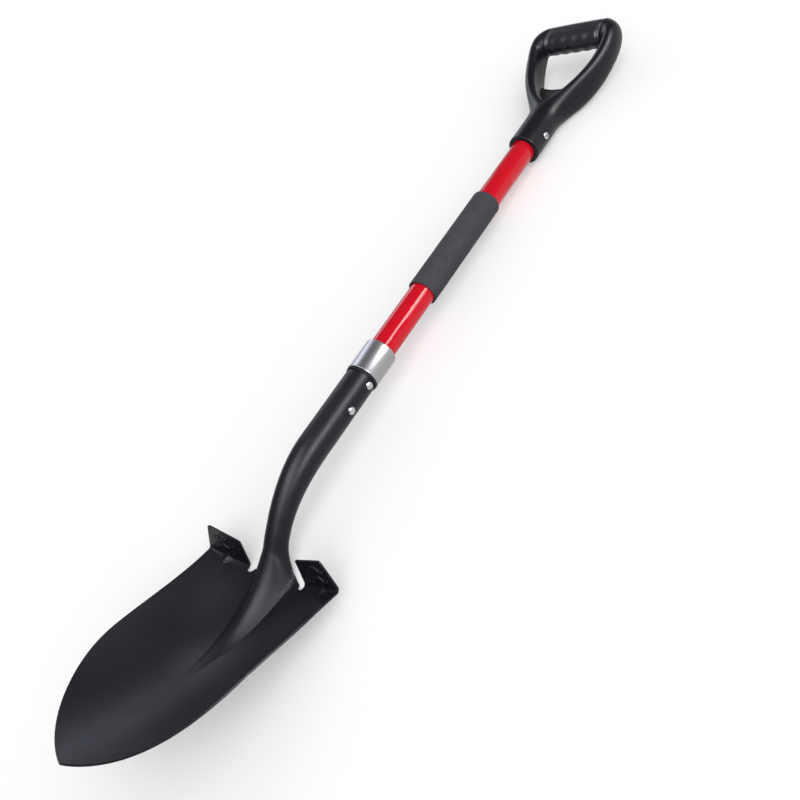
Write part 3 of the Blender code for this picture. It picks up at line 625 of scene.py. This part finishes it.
COLLAR_WALL = 0.0012
COLLAR_R = SOCKET_OUTER_R + SEAT_GAP + COLLAR_WALL
COLLAR_LENGTH = 0.043
COLLAR_LIP_RADIUS = 0.0022
COLLAR_LIP_STEPS = 9
COLLAR_EDGE = 0.0003
LIP_GAP = 0.0008
COLLAR_BEAD = 0.0004
RING_HEIGHT = 0.003
RING_EDGE = 0.0004
STEEL_DARK = (0.29, 0.29, 0.30)
STEEL_LIGHT = (0.38, 0.38, 0.39)
STEEL_ROUGHNESS = (0.32, 0.38)
STEEL_TURNING = (1.5, 1.5, 2600.0)
STEEL_BUMP = (0.00002, 0.35)
NYLON_BLACK = (0.006, 0.006, 0.008)
NYLON_ROUGHNESS = 0.5
NYLON_SPECULAR = 0.15
NYLON_GRAIN = 1400.0
NYLON_BUMP = (0.0001, 0.3)

polished_steel = new_finish("polished_steel", STEEL_LIGHT, STEEL_ROUGHNESS[0], metallic=1.0)
lathe = noise(polished_steel, along_shaft(polished_steel, STEEL_TURNING), detail=3.0)
feed(polished_steel, "Base Color", blend_colours(polished_steel, lathe, STEEL_DARK, STEEL_LIGHT))
feed(polished_steel, "Roughness", spread(polished_steel, lathe, *STEEL_ROUGHNESS))
feed(polished_steel, "Normal", bumped(polished_steel, lathe, *STEEL_BUMP))

cup = [(TUBE_R + LIP_GAP, 0.0)]
for i in range(COLLAR_LIP_STEPS + 1):
    angle = math.pi / 2 * i / COLLAR_LIP_STEPS
    cup.append((COLLAR_R - COLLAR_LIP_RADIUS * (1 - math.sin(angle)),
                COLLAR_LIP_RADIUS * (math.cos(angle) - 1)))
cup += [
    (COLLAR_R, -COLLAR_LENGTH + 4 * COLLAR_BEAD),
    (COLLAR_R + COLLAR_BEAD, -COLLAR_LENGTH + 2 * COLLAR_BEAD),
    (COLLAR_R + COLLAR_BEAD, -COLLAR_LENGTH),
    (COLLAR_R - COLLAR_WALL, -COLLAR_LENGTH),
    (COLLAR_R - COLLAR_WALL, -COLLAR_LIP_RADIUS),
    (TUBE_R + LIP_GAP, -COLLAR_LIP_RADIUS + COLLAR_WALL / 2),
]
collar = lay_down("collar_cup", turn_on_shaft(cup, COLLAR_EDGE, sharpest=70), polished_steel)
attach(collar, "root")
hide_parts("collar")

black_nylon = new_finish("black_nylon", NYLON_BLACK, NYLON_ROUGHNESS, specular=NYLON_SPECULAR)
matted = noise(black_nylon, along_shaft(black_nylon), NYLON_GRAIN)
feed(black_nylon, "Normal", bumped(black_nylon, matted, *NYLON_BUMP))
ring_top = -COLLAR_LENGTH - SEAT_GAP
ring = lay_down("nylon_ring", turn_on_shaft([
    (SOCKET_OUTER_R + SEAT_GAP, ring_top),
    (COLLAR_R - SEAT_GAP, ring_top),
    (COLLAR_R - SEAT_GAP, ring_top - RING_HEIGHT),
    (SOCKET_OUTER_R + SEAT_GAP, ring_top - RING_HEIGHT),
], RING_EDGE), black_nylon)
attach(ring, "root")
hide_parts("collar_ring")

# Foam sleeve
# A sleeve of closed-cell foam, pushed over the tube as a second hand hold. Its skin is
# matte and dark grey, with a fine open grain, and its ends are cut and slightly rounded.

SLEEVE_START = 0.0963
SLEEVE_LENGTH = 0.1685
SLEEVE_WALL = 0.0028
SLEEVE_EDGE = 0.0012
FOAM_DARK = (0.0095, 0.0098, 0.0160)
FOAM_LIGHT = (0.0140, 0.0145, 0.0215)
FOAM_ROUGHNESS = (0.8, 0.95)
FOAM_CLOUDS = 300.0
FOAM_WEAR = 80.0
FOAM_CELLS = 1300.0
FOAM_BUMP = (0.00025, 0.6)

black_foam = new_finish("black_foam", FOAM_DARK, FOAM_ROUGHNESS[0])
place = along_shaft(black_foam)
cells = add_node(black_foam, "TexVoronoi", {"Vector": place, "Scale": FOAM_CELLS}).outputs["Distance"]
cloudy = noise(black_foam, place, FOAM_CLOUDS, detail=4.0)
worn = noise(black_foam, place, FOAM_WEAR, detail=3.0)
feed(black_foam, "Base Color", blend_colours(black_foam, cloudy, FOAM_DARK, FOAM_LIGHT))
feed(black_foam, "Roughness", spread(black_foam, worn, *FOAM_ROUGHNESS))
feed(black_foam, "Normal", bumped(black_foam, cells, *FOAM_BUMP))

sleeve_end = SLEEVE_START + SLEEVE_LENGTH
sleeve = lay_down("foam_hand_hold", turn_on_shaft([
    (TUBE_R + SEAT_GAP, sleeve_end),
    (TUBE_R + SLEEVE_WALL, sleeve_end),
    (TUBE_R + SLEEVE_WALL, SLEEVE_START),
    (TUBE_R + SEAT_GAP, SLEEVE_START),
], SLEEVE_EDGE), black_foam)
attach(sleeve, "root")
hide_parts("foam_sleeve")

# D-handle
# One moulding of glass-filled nylon: a socket that forks into two arms, a sloping web in the
# fork, and a core across the top. A mould's parting line runs round the outside of the arms.

YOKE_START = 0.3710
YOKE_R = 0.0216
YOKE_LIP = 0.0016
YOKE_BORE_DEPTH = 0.050
YOKE_BEND_START = 0.410
YOKE_BEND_RADIUS = 0.375
YOKE_WIDTH = 0.1410
ARM_SPREAD_START = 0.4475
ARM_SPREAD_POWER = 2.4
ARM_HALF_WIDTH = 0.01025
ARM_FOOT_DEPTH = 0.0214
ARM_FOOT_STOUTNESS = 1.35
ARM_FOOT_DROP = 0.002
ARM_FOOT_SHARE = 0.93
ARM_DEPTH = 0.019
ARM_END_TILT = math.radians(8)
RIDGE_DEPTH = 0.80
RIDGE_SETBACK = 0.0022
RIDGE_CREASE = 0.85
RIDGE_FULL_AT = 0.5
CORNER_HALF_WIDTH = 0.0174
CORNER_TILT = math.radians(58.8)
CORNER_INSET = 0.0012
CORNER_DROP = 0.0059
CORNER_FLATNESS = 0.4
CORNER_RIDGE = 0.5
CROTCH = 0.460
CLEFT_DROP = 0.010
CLEFT_SHARE = 0.94
FORK_REACH = YOKE_R * 1.04
FORK_DEPTH = YOKE_R * 0.973
CROSSBAR_ALONG = 0.5804
GRIP_LENGTH = 0.0886
GRIP_HALF_HEIGHT = 0.0201
GRIP_HALF_DEPTH = 0.016
SHOULDER_WIDTH = 0.0042
SHOULDER_EDGE = 0.0006
CORE_R = 0.011
WEB_EDGE = 0.499
WEB_SETBACK = 0.008
WEB_HOLLOW = 0.016
WEB_HOLLOW_POWER = 3
WEB_HALF_THICKNESS = 0.0055
WEB_RISE = 0.0150
WEB_RISE_LOSS = 0.25
WEB_FILLET = 0.016
WEB_LIP = 0.003
WEB_COLUMNS = 24
WEB_SLOPE_ROWS = 14
WEB_EDGE_ROWS = 10
SCREW_UP = YOKE_START + 0.0295
SCREW_SHANK_R = 0.002
RECESS_R = 0.0068
RECESS_DEPTH = 0.0012
SCREW_HOLE_END = TUBE_R - 0.004
SCREW_HOLE_SIDES = 24
CUT_RUNOUT = 0.01
PARTING_WIDTH = 0.0006
PARTING_BUMP = (0.0004, 0.8)
PLASTIC_DARK = (0.0050, 0.0052, 0.0078)
PLASTIC_LIGHT = (0.0070, 0.0074, 0.0100)
PLASTIC_ROUGHNESS = (0.32, 0.37)
PLASTIC_SPECULAR = 0.2
PLASTIC_CLOUDS = 25.0
PLASTIC_WEAR = 90.0
PLASTIC_GRAIN = 2200.0
PLASTIC_BUMP = (0.00008, 0.4)
# A subdivided cage draws in from its corners: these undo it for 12 and for 10 corners
SWELL_12 = 1 / (2 / 3 + math.cos(math.radians(30)) / 3)
SWELL_10 = 1 / (2 / 3 + math.cos(math.radians(36)) / 3)
# The corners of an arm's ring that face the other arm
INNER_CORNERS = (7, 8, 9)
# Each ring of an arm: its share of the way up from the fork, its stoutness and its depth
ARM_STATIONS = ((0.13, 1.15, 1.0), (0.32, 1.05, 1.0), (0.52, 1.0, 0.92), (0.70, 1.0, 0.87))


def bent(x, along, front):
    """A point of the handle: straight on the shaft, then bent forwards on an arc."""
    if along <= YOKE_BEND_START:
        return Vector((x, -front, along))
    turn = (along - YOKE_BEND_START) / YOKE_BEND_RADIUS
    up = YOKE_BEND_START + YOKE_BEND_RADIUS * math.sin(turn) - front * math.sin(turn)
    out = YOKE_BEND_RADIUS * (1 - math.cos(turn)) + front * math.cos(turn)
    return Vector((x, -out, up))


def socket_ring(along, reach, depth):
    """Half a ring of the socket, from its front round +X to its back."""
    ring = []
    for i in range(7):
        angle = math.radians(90 - 30 * i)
        x = 0.0 if i in (0, 6) else reach * SWELL_12 * math.cos(angle)
        ring.append(bent(x, along, depth * SWELL_12 * math.sin(angle)))
    return ring


def arm_reach(along):
    """Half the handle's width: the arms spread quickly at their feet, then run parallel."""
    share = (along - ARM_SPREAD_START) / (CROSSBAR_ALONG - ARM_SPREAD_START)
    return YOKE_R + (YOKE_WIDTH / 2 - YOKE_R) * (1 - (1 - share) ** ARM_SPREAD_POWER)


def arm_ring(x, along, tilt, half_wide, half_deep, flat=0.0):
    """A ring of an arm or of the crossbar, turned by tilt, its inner side flat between ridges."""
    ring = []
    for i in range(10):
        angle = math.radians(108 - 36 * i)
        out = half_wide * SWELL_10 * math.cos(angle)
        front = half_deep * SWELL_10 * math.sin(angle)
        if i in INNER_CORNERS:
            out += (RIDGE_SETBACK * abs(i - 8) - half_wide - out) * flat
            front += (half_deep * RIDGE_DEPTH * (i - 8) - front) * flat
        ring.append(bent(x + out * math.cos(tilt), along + out * math.sin(tilt), front))
    return ring


def grow(bm, row, places, closed=True):
    """Extrudes a row of vertices and sets each new one in its place on the next ring."""
    ends = row[1:] + row[:1] if closed else row[1:]
    fresh = bmesh.ops.extrude_edge_only(bm, edges=[bm.edges.get(pair) for pair in zip(row, ends)])
    grown = [None] * len(row)
    for vert in fresh["geom"]:
        if isinstance(vert, bmesh.types.BMVert):
            grown[min(range(len(row)), key=lambda k: (row[k].co - vert.co).length_squared)] = vert
    for vert, place in zip(grown, places):
        vert.co = place
    return grown


def carve(bm, tool, operation="DIFFERENCE", levels=0):
    """Cuts a closed mesh out of another, or joins the two, after rounding the first one's cage."""
    pair = []
    for part in (bm, tool):
        mesh = bpy.data.meshes.new("working")
        part.to_mesh(mesh)
        part.free()
        pair.append(bpy.data.objects.new("working", mesh))
        bpy.context.scene.collection.objects.link(pair[-1])
    if levels:
        rounding = pair[0].modifiers.new("round", "SUBSURF")
        rounding.levels = rounding.render_levels = levels
    step = pair[0].modifiers.new("cut", "BOOLEAN")
    step.operation = operation
    step.solver = "EXACT"
    step.object = pair[1]
    graph = bpy.context.evaluated_depsgraph_get()
    result = bmesh.new()
    result.from_mesh(bpy.data.meshes.new_from_object(pair[0].evaluated_get(graph)))
    for obj in pair:
        bpy.data.objects.remove(obj)
    return result


def round_bar(radius, low, high, axis="Z", height=0.0, segments=TURNED_SIDES):
    """A closed round bar along the shaft, or across it at a height."""
    bm = bmesh.new()
    bmesh.ops.create_cone(bm, cap_ends=True, segments=segments, radius1=radius, radius2=radius,
                          depth=high - low)
    place = Matrix.Translation((0.0, 0.0, (low + high) / 2))
    if axis == "X":
        place = Matrix.Translation((0.0, 0.0, height)) @ Matrix.Rotation(math.pi / 2, 4, "Y") @ place
    bmesh.ops.transform(bm, matrix=place, verts=bm.verts)
    return bm


def web_body():
    """The web in the fork: deep where the arms part, thinner up to its hollowed, rounded edge."""
    rows = 2 * WEB_SLOPE_ROWS + WEB_EDGE_ROWS
    bm = bmesh.new()
    bmesh.ops.create_grid(bm, x_segments=WEB_COLUMNS, y_segments=rows, size=1.0)
    rims = {-1: {}, 1: {}}
    for vert in bm.verts:
        row = round((vert.co.y + 1) / 2 * rows)
        side = vert.co.x
        if round(abs(side) * WEB_COLUMNS) == WEB_COLUMNS:
            rims[round(side)][row] = vert
        foot_end = WEB_EDGE + WEB_HOLLOW * abs(side) ** WEB_HOLLOW_POWER - WEB_LIP
        if WEB_SLOPE_ROWS < row < WEB_SLOPE_ROWS + WEB_EDGE_ROWS:
            angle = math.pi * (row - WEB_SLOPE_ROWS) / WEB_EDGE_ROWS
            along = foot_end + WEB_LIP * math.sqrt(math.sin(angle))
            front = math.copysign(math.sqrt(abs(math.cos(angle))), math.cos(angle)) * WEB_HALF_THICKNESS
            share = 1.0
        else:
            share = min(row, rows - row) / WEB_SLOPE_ROWS
            along = ARM_SPREAD_START + (foot_end - ARM_SPREAD_START) * share
            front = WEB_HALF_THICKNESS + WEB_RISE * (1 - share) * (1 - WEB_RISE_LOSS * side * side)
            if row <= WEB_SLOPE_ROWS:
                front += WEB_FILLET * side * side * share * (1 - share)
            else:
                front = -front
        front -= WEB_SETBACK * share
        vert.co = bent(side * (arm_reach(along) - ARM_HALF_WIDTH), along, front)
    for rim in rims.values():
        for row in range(rows // 2):
            corners = dict.fromkeys((rim[row], rim[row + 1], rim[rows - row - 1], rim[rows - row]))
            bmesh.ops.contextual_create(bm, geom=list(corners))
    bmesh.ops.holes_fill(bm, edges=[edge for edge in bm.edges if edge.is_boundary], sides=0)
    bmesh.ops.recalc_face_normals(bm, faces=bm.faces)
    return bm


yoke = bmesh.new()
shoulder = GRIP_LENGTH / 2 + SEAT_GAP
arm_middle = YOKE_WIDTH / 2 - ARM_HALF_WIDTH
foot_half_width = ARM_HALF_WIDTH * ARM_FOOT_STOUTNESS
first = arm_ring(arm_reach(CROTCH) - foot_half_width, CROTCH - ARM_FOOT_DROP, 0.0, foot_half_width,
                 ARM_FOOT_DEPTH * ARM_FOOT_SHARE)
for i in INNER_CORNERS:
    first[i] = bent(0.0, CROTCH - CLEFT_DROP * abs(i - 8), ARM_FOOT_DEPTH * CLEFT_SHARE * (i - 8))
arm_row = bmesh.ops.create_circle(yoke, cap_ends=False, segments=10, radius=1.0)["verts"]
for vert, place in zip(arm_row, first):
    vert.co = place
half_ring = arm_row[:7]
for along, reach, depth in (
        ((YOKE_START + YOKE_BORE_DEPTH + CROTCH) / 2, FORK_REACH, FORK_DEPTH),
        (YOKE_START + YOKE_BORE_DEPTH, YOKE_R, YOKE_R),
        (YOKE_START + YOKE_BORE_DEPTH / 2, YOKE_R, YOKE_R),
        (YOKE_START + YOKE_LIP * 2, YOKE_R, YOKE_R),
        (YOKE_START + YOKE_LIP, YOKE_R, YOKE_R),
        (YOKE_START, YOKE_R - YOKE_LIP, YOKE_R - YOKE_LIP)):
    grown = grow(yoke, half_ring, socket_ring(along, reach, depth), closed=False)
    if half_ring[0] is arm_row[0]:
        bmesh.ops.contextual_create(yoke, geom=[grown[0], arm_row[9], arm_row[0]])
        bmesh.ops.contextual_create(yoke, geom=[grown[6], arm_row[6], arm_row[7]])
    half_ring = grown
bmesh.ops.contextual_create(yoke, geom=half_ring)
rings = []
for share, stout, depth in ARM_STATIONS:
    along = CROTCH + (CROSSBAR_ALONG - CROTCH) * share
    half = ARM_HALF_WIDTH * stout
    ridge = min(1.0, share / RIDGE_FULL_AT) ** 2
    rings.append((arm_ring(arm_reach(along) - half, along, 0.0, half, ARM_FOOT_DEPTH * depth, 1.0), ridge))
rings += [
    (arm_ring(arm_middle, CROSSBAR_ALONG - GRIP_HALF_HEIGHT, ARM_END_TILT, ARM_HALF_WIDTH, ARM_DEPTH,
              1.0), 1.0),
    (arm_ring(arm_middle - CORNER_INSET, CROSSBAR_ALONG - CORNER_DROP, CORNER_TILT, CORNER_HALF_WIDTH,
              ARM_DEPTH, CORNER_FLATNESS), CORNER_RIDGE),
]
for reach, high, depth in ((shoulder + SHOULDER_WIDTH, GRIP_HALF_HEIGHT, GRIP_HALF_DEPTH),
                           (shoulder + SHOULDER_EDGE, GRIP_HALF_HEIGHT, GRIP_HALF_DEPTH),
                           (shoulder, GRIP_HALF_HEIGHT - SHOULDER_EDGE, GRIP_HALF_DEPTH - SHOULDER_EDGE),
                           (shoulder, CORE_R, CORE_R), (0.0, CORE_R, CORE_R)):
    rings.append((arm_ring(reach, CROSSBAR_ALONG, math.radians(90), high, depth), 0.0))
crease = yoke.edges.layers.float.new("crease_edge")
for places, ridge in rings:
    grown = grow(yoke, arm_row, places)
    for i in (INNER_CORNERS[0], INNER_CORNERS[-1]):
        yoke.edges.get((arm_row[i], grown[i]))[crease] = RIDGE_CREASE * ridge
    arm_row = grown
for vert in arm_row:
    vert.co.x = 0.0
bmesh.ops.mirror(yoke, geom=yoke.verts[:] + yoke.edges[:] + yoke.faces[:], matrix=Matrix.Identity(4),
                 merge_dist=MERGE_DISTANCE, axis="X")
bmesh.ops.recalc_face_normals(yoke, faces=yoke.faces)
screw_seat = YOKE_R - RECESS_DEPTH
yoke = carve(yoke, web_body(), "UNION", levels=3)
yoke = carve(yoke, round_bar(TUBE_R + SEAT_GAP, YOKE_START - CUT_RUNOUT, YOKE_START + YOKE_BORE_DEPTH))
yoke = carve(yoke, round_bar(RECESS_R, screw_seat, 2 * YOKE_R, "X", SCREW_UP, PIN_SIDES))
yoke = carve(yoke, round_bar(SCREW_SHANK_R + SEAT_GAP, SCREW_HOLE_END, 2 * YOKE_R, "X", SCREW_UP,
                             SCREW_HOLE_SIDES))

handle_plastic = new_finish("handle_plastic", PLASTIC_DARK, PLASTIC_ROUGHNESS[0], specular=PLASTIC_SPECULAR)
place = along_shaft(handle_plastic)
eroded = noise(handle_plastic, place, PLASTIC_GRAIN)
cloudy = noise(handle_plastic, place, PLASTIC_CLOUDS, detail=3.0)
worn = noise(handle_plastic, place, PLASTIC_WEAR, detail=3.0)
feed(handle_plastic, "Base Color", blend_colours(handle_plastic, cloudy, PLASTIC_DARK, PLASTIC_LIGHT))
feed(handle_plastic, "Roughness", spread(handle_plastic, worn, *PLASTIC_ROUGHNESS))
# The parting line lies where the distance from the bend's centre equals its radius
axes = add_node(handle_plastic, "SeparateXYZ", {0: place})
past_bend = add_node(handle_plastic, "Math", {0: axes.outputs["Z"], 1: YOKE_BEND_START}, operation="SUBTRACT")
past_bend = add_node(handle_plastic, "Math", {0: past_bend.outputs[0], 1: 0.0}, operation="MAXIMUM")
from_centre = add_node(handle_plastic, "Math", {0: axes.outputs["Y"], 1: YOKE_BEND_RADIUS}, operation="ADD")
to_bend = add_node(handle_plastic, "CombineXYZ", {"Y": from_centre.outputs[0], "Z": past_bend.outputs[0]})
bend_reach = add_node(handle_plastic, "VectorMath", {0: to_bend.outputs[0]}, operation="LENGTH")
off_plane = add_node(handle_plastic, "Math", {0: YOKE_BEND_RADIUS, 1: bend_reach.outputs["Value"]},
                     operation="SUBTRACT")
off_plane = add_node(handle_plastic, "Math", {0: off_plane.outputs[0]}, operation="ABSOLUTE")
parting = spread(handle_plastic, off_plane.outputs[0], low=1.0, high=0.0, start=0.0, end=PARTING_WIDTH)
seam = bumped(handle_plastic, parting, *PARTING_BUMP)
feed(handle_plastic, "Normal", bumped(handle_plastic, eroded, *PLASTIC_BUMP, under=seam))

yoke = lay_down("d_handle", yoke, handle_plastic)
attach(yoke, "root")
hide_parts("handle_yoke")

# Handle screw
# A plated pan-head screw with a cross recess, driven through the handle's socket into the
# shaft's plug. Its head sits in a shallow counterbore.

SCREW_HEAD_R = 0.005
SCREW_HEAD_HEIGHT = 0.0026
SCREW_HEAD_STEPS = 10
SCREW_LENGTH = 0.012
PAN_RIM = 0.35
PAN_FALL = 0.8
PAN_FULLNESS = 0.6
CROSS_SLOT = (0.0030, 0.0050, 0.0011)
CROSS_TURN = 30

head_seat = screw_seat + SEAT_GAP
stations = []
for i in range(SCREW_HEAD_STEPS + 1):
    angle = math.pi / 2 * i / SCREW_HEAD_STEPS
    pan_height = SCREW_HEAD_HEIGHT * (PAN_RIM + (1 - PAN_RIM) * math.cos(angle) ** PAN_FALL)
    stations.append((head_seat + pan_height, SCREW_HEAD_R * math.sin(angle) ** PAN_FULLNESS))
stations += [
    (head_seat, SCREW_HEAD_R),
    (head_seat, SCREW_SHANK_R),
    (head_seat - SCREW_LENGTH + SCREW_SHANK_R, SCREW_SHANK_R),
    (head_seat - SCREW_LENGTH, 0.0),
]
screw = turn_pin(stations, SCREW_UP)
head_top = Matrix.Translation((head_seat + SCREW_HEAD_HEIGHT, 0, SCREW_UP))
for turn in (CROSS_TURN, CROSS_TURN + 90):
    slot = bmesh.new()
    bmesh.ops.create_cube(slot, size=1.0)
    bmesh.ops.scale(slot, vec=CROSS_SLOT, verts=slot.verts)
    bmesh.ops.transform(slot, verts=slot.verts, matrix=head_top @ Matrix.Rotation(math.radians(turn), 4, "X"))
    screw = carve(screw, slot)
screw = lay_down("pan_head_screw", screw, bright_steel)
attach(screw, "root")
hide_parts("handle_screw")

# Grip
# A softer rubbery sleeve moulded over the handle's core, with swells between the fingers
# along its underside and front, and two narrow grooves at each end.

FINGER_SWELL = 0.0006
FINGER_COUNT = 5
FINGER_SIDE_FALL = 1.5
FINGER_END_FALL = 6
GRIP_BELLY = 0.035
GRIP_GROOVES = (0.0392, 0.0424)
GROOVE_DEPTH = 0.0006
GROOVE_HALF_WIDTH = 0.0008
GRIP_ROUNDING = 0.0008
GRIP_SIDES = 72
GRIP_CUTS = 179
GRIP_BLACK = (0.0048, 0.0055, 0.0090)
GRIP_SOOT = (0.0065, 0.0075, 0.0115)
GRIP_ROUGHNESS = (0.30, 0.35)
GRIP_SPECULAR = 0.60
GRIP_CLOUDS = 40.0
GRIP_WEAR = 120.0
GRIP_GRAIN = 1600.0
GRIP_BUMP = (0.00002, 0.08)

grip = bmesh.new()
bmesh.ops.create_cone(grip, cap_ends=True, segments=GRIP_SIDES, radius1=1.0, radius2=1.0, depth=2.0)
long_edges = [edge for edge in grip.edges if edge.calc_length() > 1.0]
bmesh.ops.subdivide_edges(grip, edges=long_edges, cuts=GRIP_CUTS)
for vert in grip.verts:
    across, depth, share = vert.co
    x = share * GRIP_LENGTH / 2
    under = max(-across, 0.0) ** FINGER_SIDE_FALL
    wave = math.cos(math.pi * FINGER_COUNT * share) * (1 - share ** FINGER_END_FALL)
    shrink = 0.0
    for groove in GRIP_GROOVES:
        shrink += GROOVE_DEPTH * math.exp(-((abs(x) - groove) / GROOVE_HALF_WIDTH) ** 2)
    from_end = GRIP_LENGTH / 2 - abs(x)
    if from_end < GRIP_ROUNDING:
        shrink += GRIP_ROUNDING - math.sqrt(GRIP_ROUNDING ** 2 - (GRIP_ROUNDING - from_end) ** 2)
    swell = FINGER_SWELL * wave * under - shrink
    high = across * (GRIP_HALF_HEIGHT * (1 + GRIP_BELLY * (1 - share * share)) + swell)
    vert.co = bent(x, CROSSBAR_ALONG + high, depth * (GRIP_HALF_DEPTH + swell))
bmesh.ops.recalc_face_normals(grip, faces=grip.faces)
core = bent(0.0, CROSSBAR_ALONG, 0.0)
bore = round_bar(CORE_R + SEAT_GAP, -GRIP_LENGTH, GRIP_LENGTH, "X", core.z, PIN_SIDES)
bmesh.ops.translate(bore, verts=bore.verts, vec=(0.0, core.y, 0.0))
grip = carve(grip, bore)

soft_grip = new_finish("soft_grip", GRIP_BLACK, GRIP_ROUGHNESS[0], specular=GRIP_SPECULAR)
place = along_shaft(soft_grip)
cloudy = noise(soft_grip, place, GRIP_CLOUDS, detail=3.0)
worn = noise(soft_grip, place, GRIP_WEAR, detail=3.0)
eroded = noise(soft_grip, place, GRIP_GRAIN)
feed(soft_grip, "Base Color", blend_colours(soft_grip, cloudy, GRIP_BLACK, GRIP_SOOT))
feed(soft_grip, "Roughness", spread(soft_grip, worn, *GRIP_ROUGHNESS))
feed(soft_grip, "Normal", bumped(soft_grip, eroded, *GRIP_BUMP))
grip = lay_down("soft_hand_grip", grip, soft_grip)
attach(grip, "root")
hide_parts("grip_sleeve")

# Floor, lights and camera
# A wide pale floor under a grey sky. The suns only light the surfaces. The flat lamps only
# show in their gloss: a softbox over the blade and a strip, a backdrop and a side lamp.

FLOOR_COLOUR = (0.72, 0.72, 0.72)
FLOOR_ROUGHNESS = 0.9
FLOOR_HALF_SIZE = 6.0
WHITE_LIFT = 0.24
# The sky's colour from the horizon at 0 to the zenith at 1
SKY = ((0.0, (0.80, 0.80, 0.80)), (0.10, (0.36, 0.36, 0.3816)), (0.30, (0.30, 0.30, 0.318)),
       (0.60, (0.15, 0.15, 0.159)), (1.0, (0.20, 0.20, 0.21)))
# Each sun: its name, the side it shines from, its strength and how many degrees it fills
SUNS = (("key", (-1.6, 0.5, 1.7), 0.25, 50), ("fill_above", (0, 0, 2), 0.65, 150),
        ("fill_front", (0.75, -0.51, 0.61), 1.75, 70), ("fill_right", (1.6, -0.1, 0.9), 1.7, 120))
# Each flat lamp: its name, place, target, power, width, height and colour
FLAT_LAMPS = (("softbox", (0.30, -0.50, 1.45), (0.0, -0.50, 0), 36.0, 1.6, 0.7, (1.0, 1.0, 1.0)),
              ("strip", (0, 0, 1), (0, 0, 0), 38.0, 0.46, 1.4, (1.0, 1.0, 1.0)),
              ("backdrop", (-1.5, 1.15, 0.80), (0, -0.3, 0.05), 9.0, 1.1, 0.7, (0.80, 0.84, 1.0)),
              ("side", (1.35, 0.98, 0.62), (0, 0.45, 0.05), 7.0, 0.5, 0.5, (1.0, 1.0, 1.0)))
SOFTBOX_TURN = math.radians(-30)
STRIP_PLACE = Vector((1.21, -0.88, 0.40))
CAMERA_PLACE = lying @ Vector((0.7516, -0.6146, -0.5093))
CAMERA_TARGET = lying @ Vector((0.0681, 0.0063, -0.0622))
CAMERA_ROLL = math.radians(-38.30)
CAMERA_LENS = 42.13
CAMERA_SENSOR = 36.0

pale_floor = new_finish("pale_floor", FLOOR_COLOUR, FLOOR_ROUGHNESS, specular=0.0)
pale_floor.node_tree.nodes["Principled BSDF"].inputs["Emission Color"].default_value = (1.0, 1.0, 1.0, 1.0)
rays = add_node(pale_floor, "LightPath").outputs
seen = add_node(pale_floor, "Math", {0: rays["Is Camera Ray"], 1: rays["Is Glossy Ray"]}, operation="MAXIMUM")
lift = add_node(pale_floor, "Math", {0: seen.outputs[0], 1: WHITE_LIFT}, operation="MULTIPLY")
feed(pale_floor, "Emission Strength", lift.outputs[0])
ground = bmesh.new()
bmesh.ops.create_grid(ground, x_segments=1, y_segments=1, size=FLOOR_HALF_SIZE)
ground_mesh = bpy.data.meshes.new("floor")
ground.to_mesh(ground_mesh)
ground.free()
ground_mesh.materials.append(pale_floor)
floor = bpy.data.objects.new("floor", ground_mesh)
bpy.context.scene.collection.objects.link(floor)

world = bpy.data.worlds.new("soft_room")
bpy.context.scene.world = world
world.use_nodes = True
room = world.node_tree
direction = room.nodes.new("ShaderNodeTexCoord")
split = room.nodes.new("ShaderNodeSeparateXYZ")
room.links.new(direction.outputs["Generated"], split.inputs[0])
sky = room.nodes.new("ShaderNodeValToRGB")
room.links.new(split.outputs["Z"], sky.inputs["Fac"])
shades = sky.color_ramp.elements
shades[0].color = (*SKY[0][1], 1.0)
shades[1].color = (*SKY[-1][1], 1.0)
for position, colour in SKY[1:-1]:
    shades.new(position).color = (*colour, 1.0)
room.links.new(sky.outputs["Color"], room.nodes["Background"].inputs["Color"])


def aim(obj, place, target):
    """Puts a lamp or the camera in its place and turns it to a target."""
    obj.location = place
    obj.rotation_euler = (Vector(target) - Vector(place)).to_track_quat("-Z", "Y").to_euler()


def add_lamp(name, kind, place, target, energy, **settings):
    """A lamp that either lights the surfaces, as a sun, or only shows in their gloss."""
    light = bpy.data.lights.new(name, kind)
    light.energy = energy
    for key, value in settings.items():
        setattr(light, key, value)
    lamp = bpy.data.objects.new(name, light)
    bpy.context.scene.collection.objects.link(lamp)
    lamp.visible_glossy = kind == "AREA"
    lamp.visible_diffuse = kind == "SUN"
    aim(lamp, place, target)
    return lamp


for name, place, strength, filled in SUNS:
    add_lamp(name, "SUN", place, (0, 0, 0), strength, angle=math.radians(filled))
flat_lamps = {}
for name, place, target, power, width, height, colour in FLAT_LAMPS:
    flat_lamps[name] = add_lamp(name, "AREA", place, target, power, shape="RECTANGLE", size=width,
                                size_y=height, color=colour)
flat_lamps["softbox"].rotation_euler.z = SOFTBOX_TURN
strip_turn = Matrix.Rotation(math.atan2(STRIP_PLACE.x, -STRIP_PLACE.y), 4, "Z")
strip_turn @= Matrix.Rotation(math.pi / 2, 4, "X")
flat_lamps["strip"].matrix_world = lying @ Matrix.Translation(STRIP_PLACE) @ strip_turn

camera = bpy.data.objects.new("camera", bpy.data.cameras.new("camera"))
camera.data.lens = CAMERA_LENS
camera.data.sensor_width = CAMERA_SENSOR
aim(camera, CAMERA_PLACE, CAMERA_TARGET)
camera.rotation_euler = ((CAMERA_TARGET - CAMERA_PLACE).to_track_quat("-Z", "Y")
                         @ Quaternion((0, 0, 1), CAMERA_ROLL)).to_euler()
bpy.context.scene.collection.objects.link(camera)
bpy.context.scene.camera = camera
bpy.context.scene.view_settings.view_transform = "Standard"
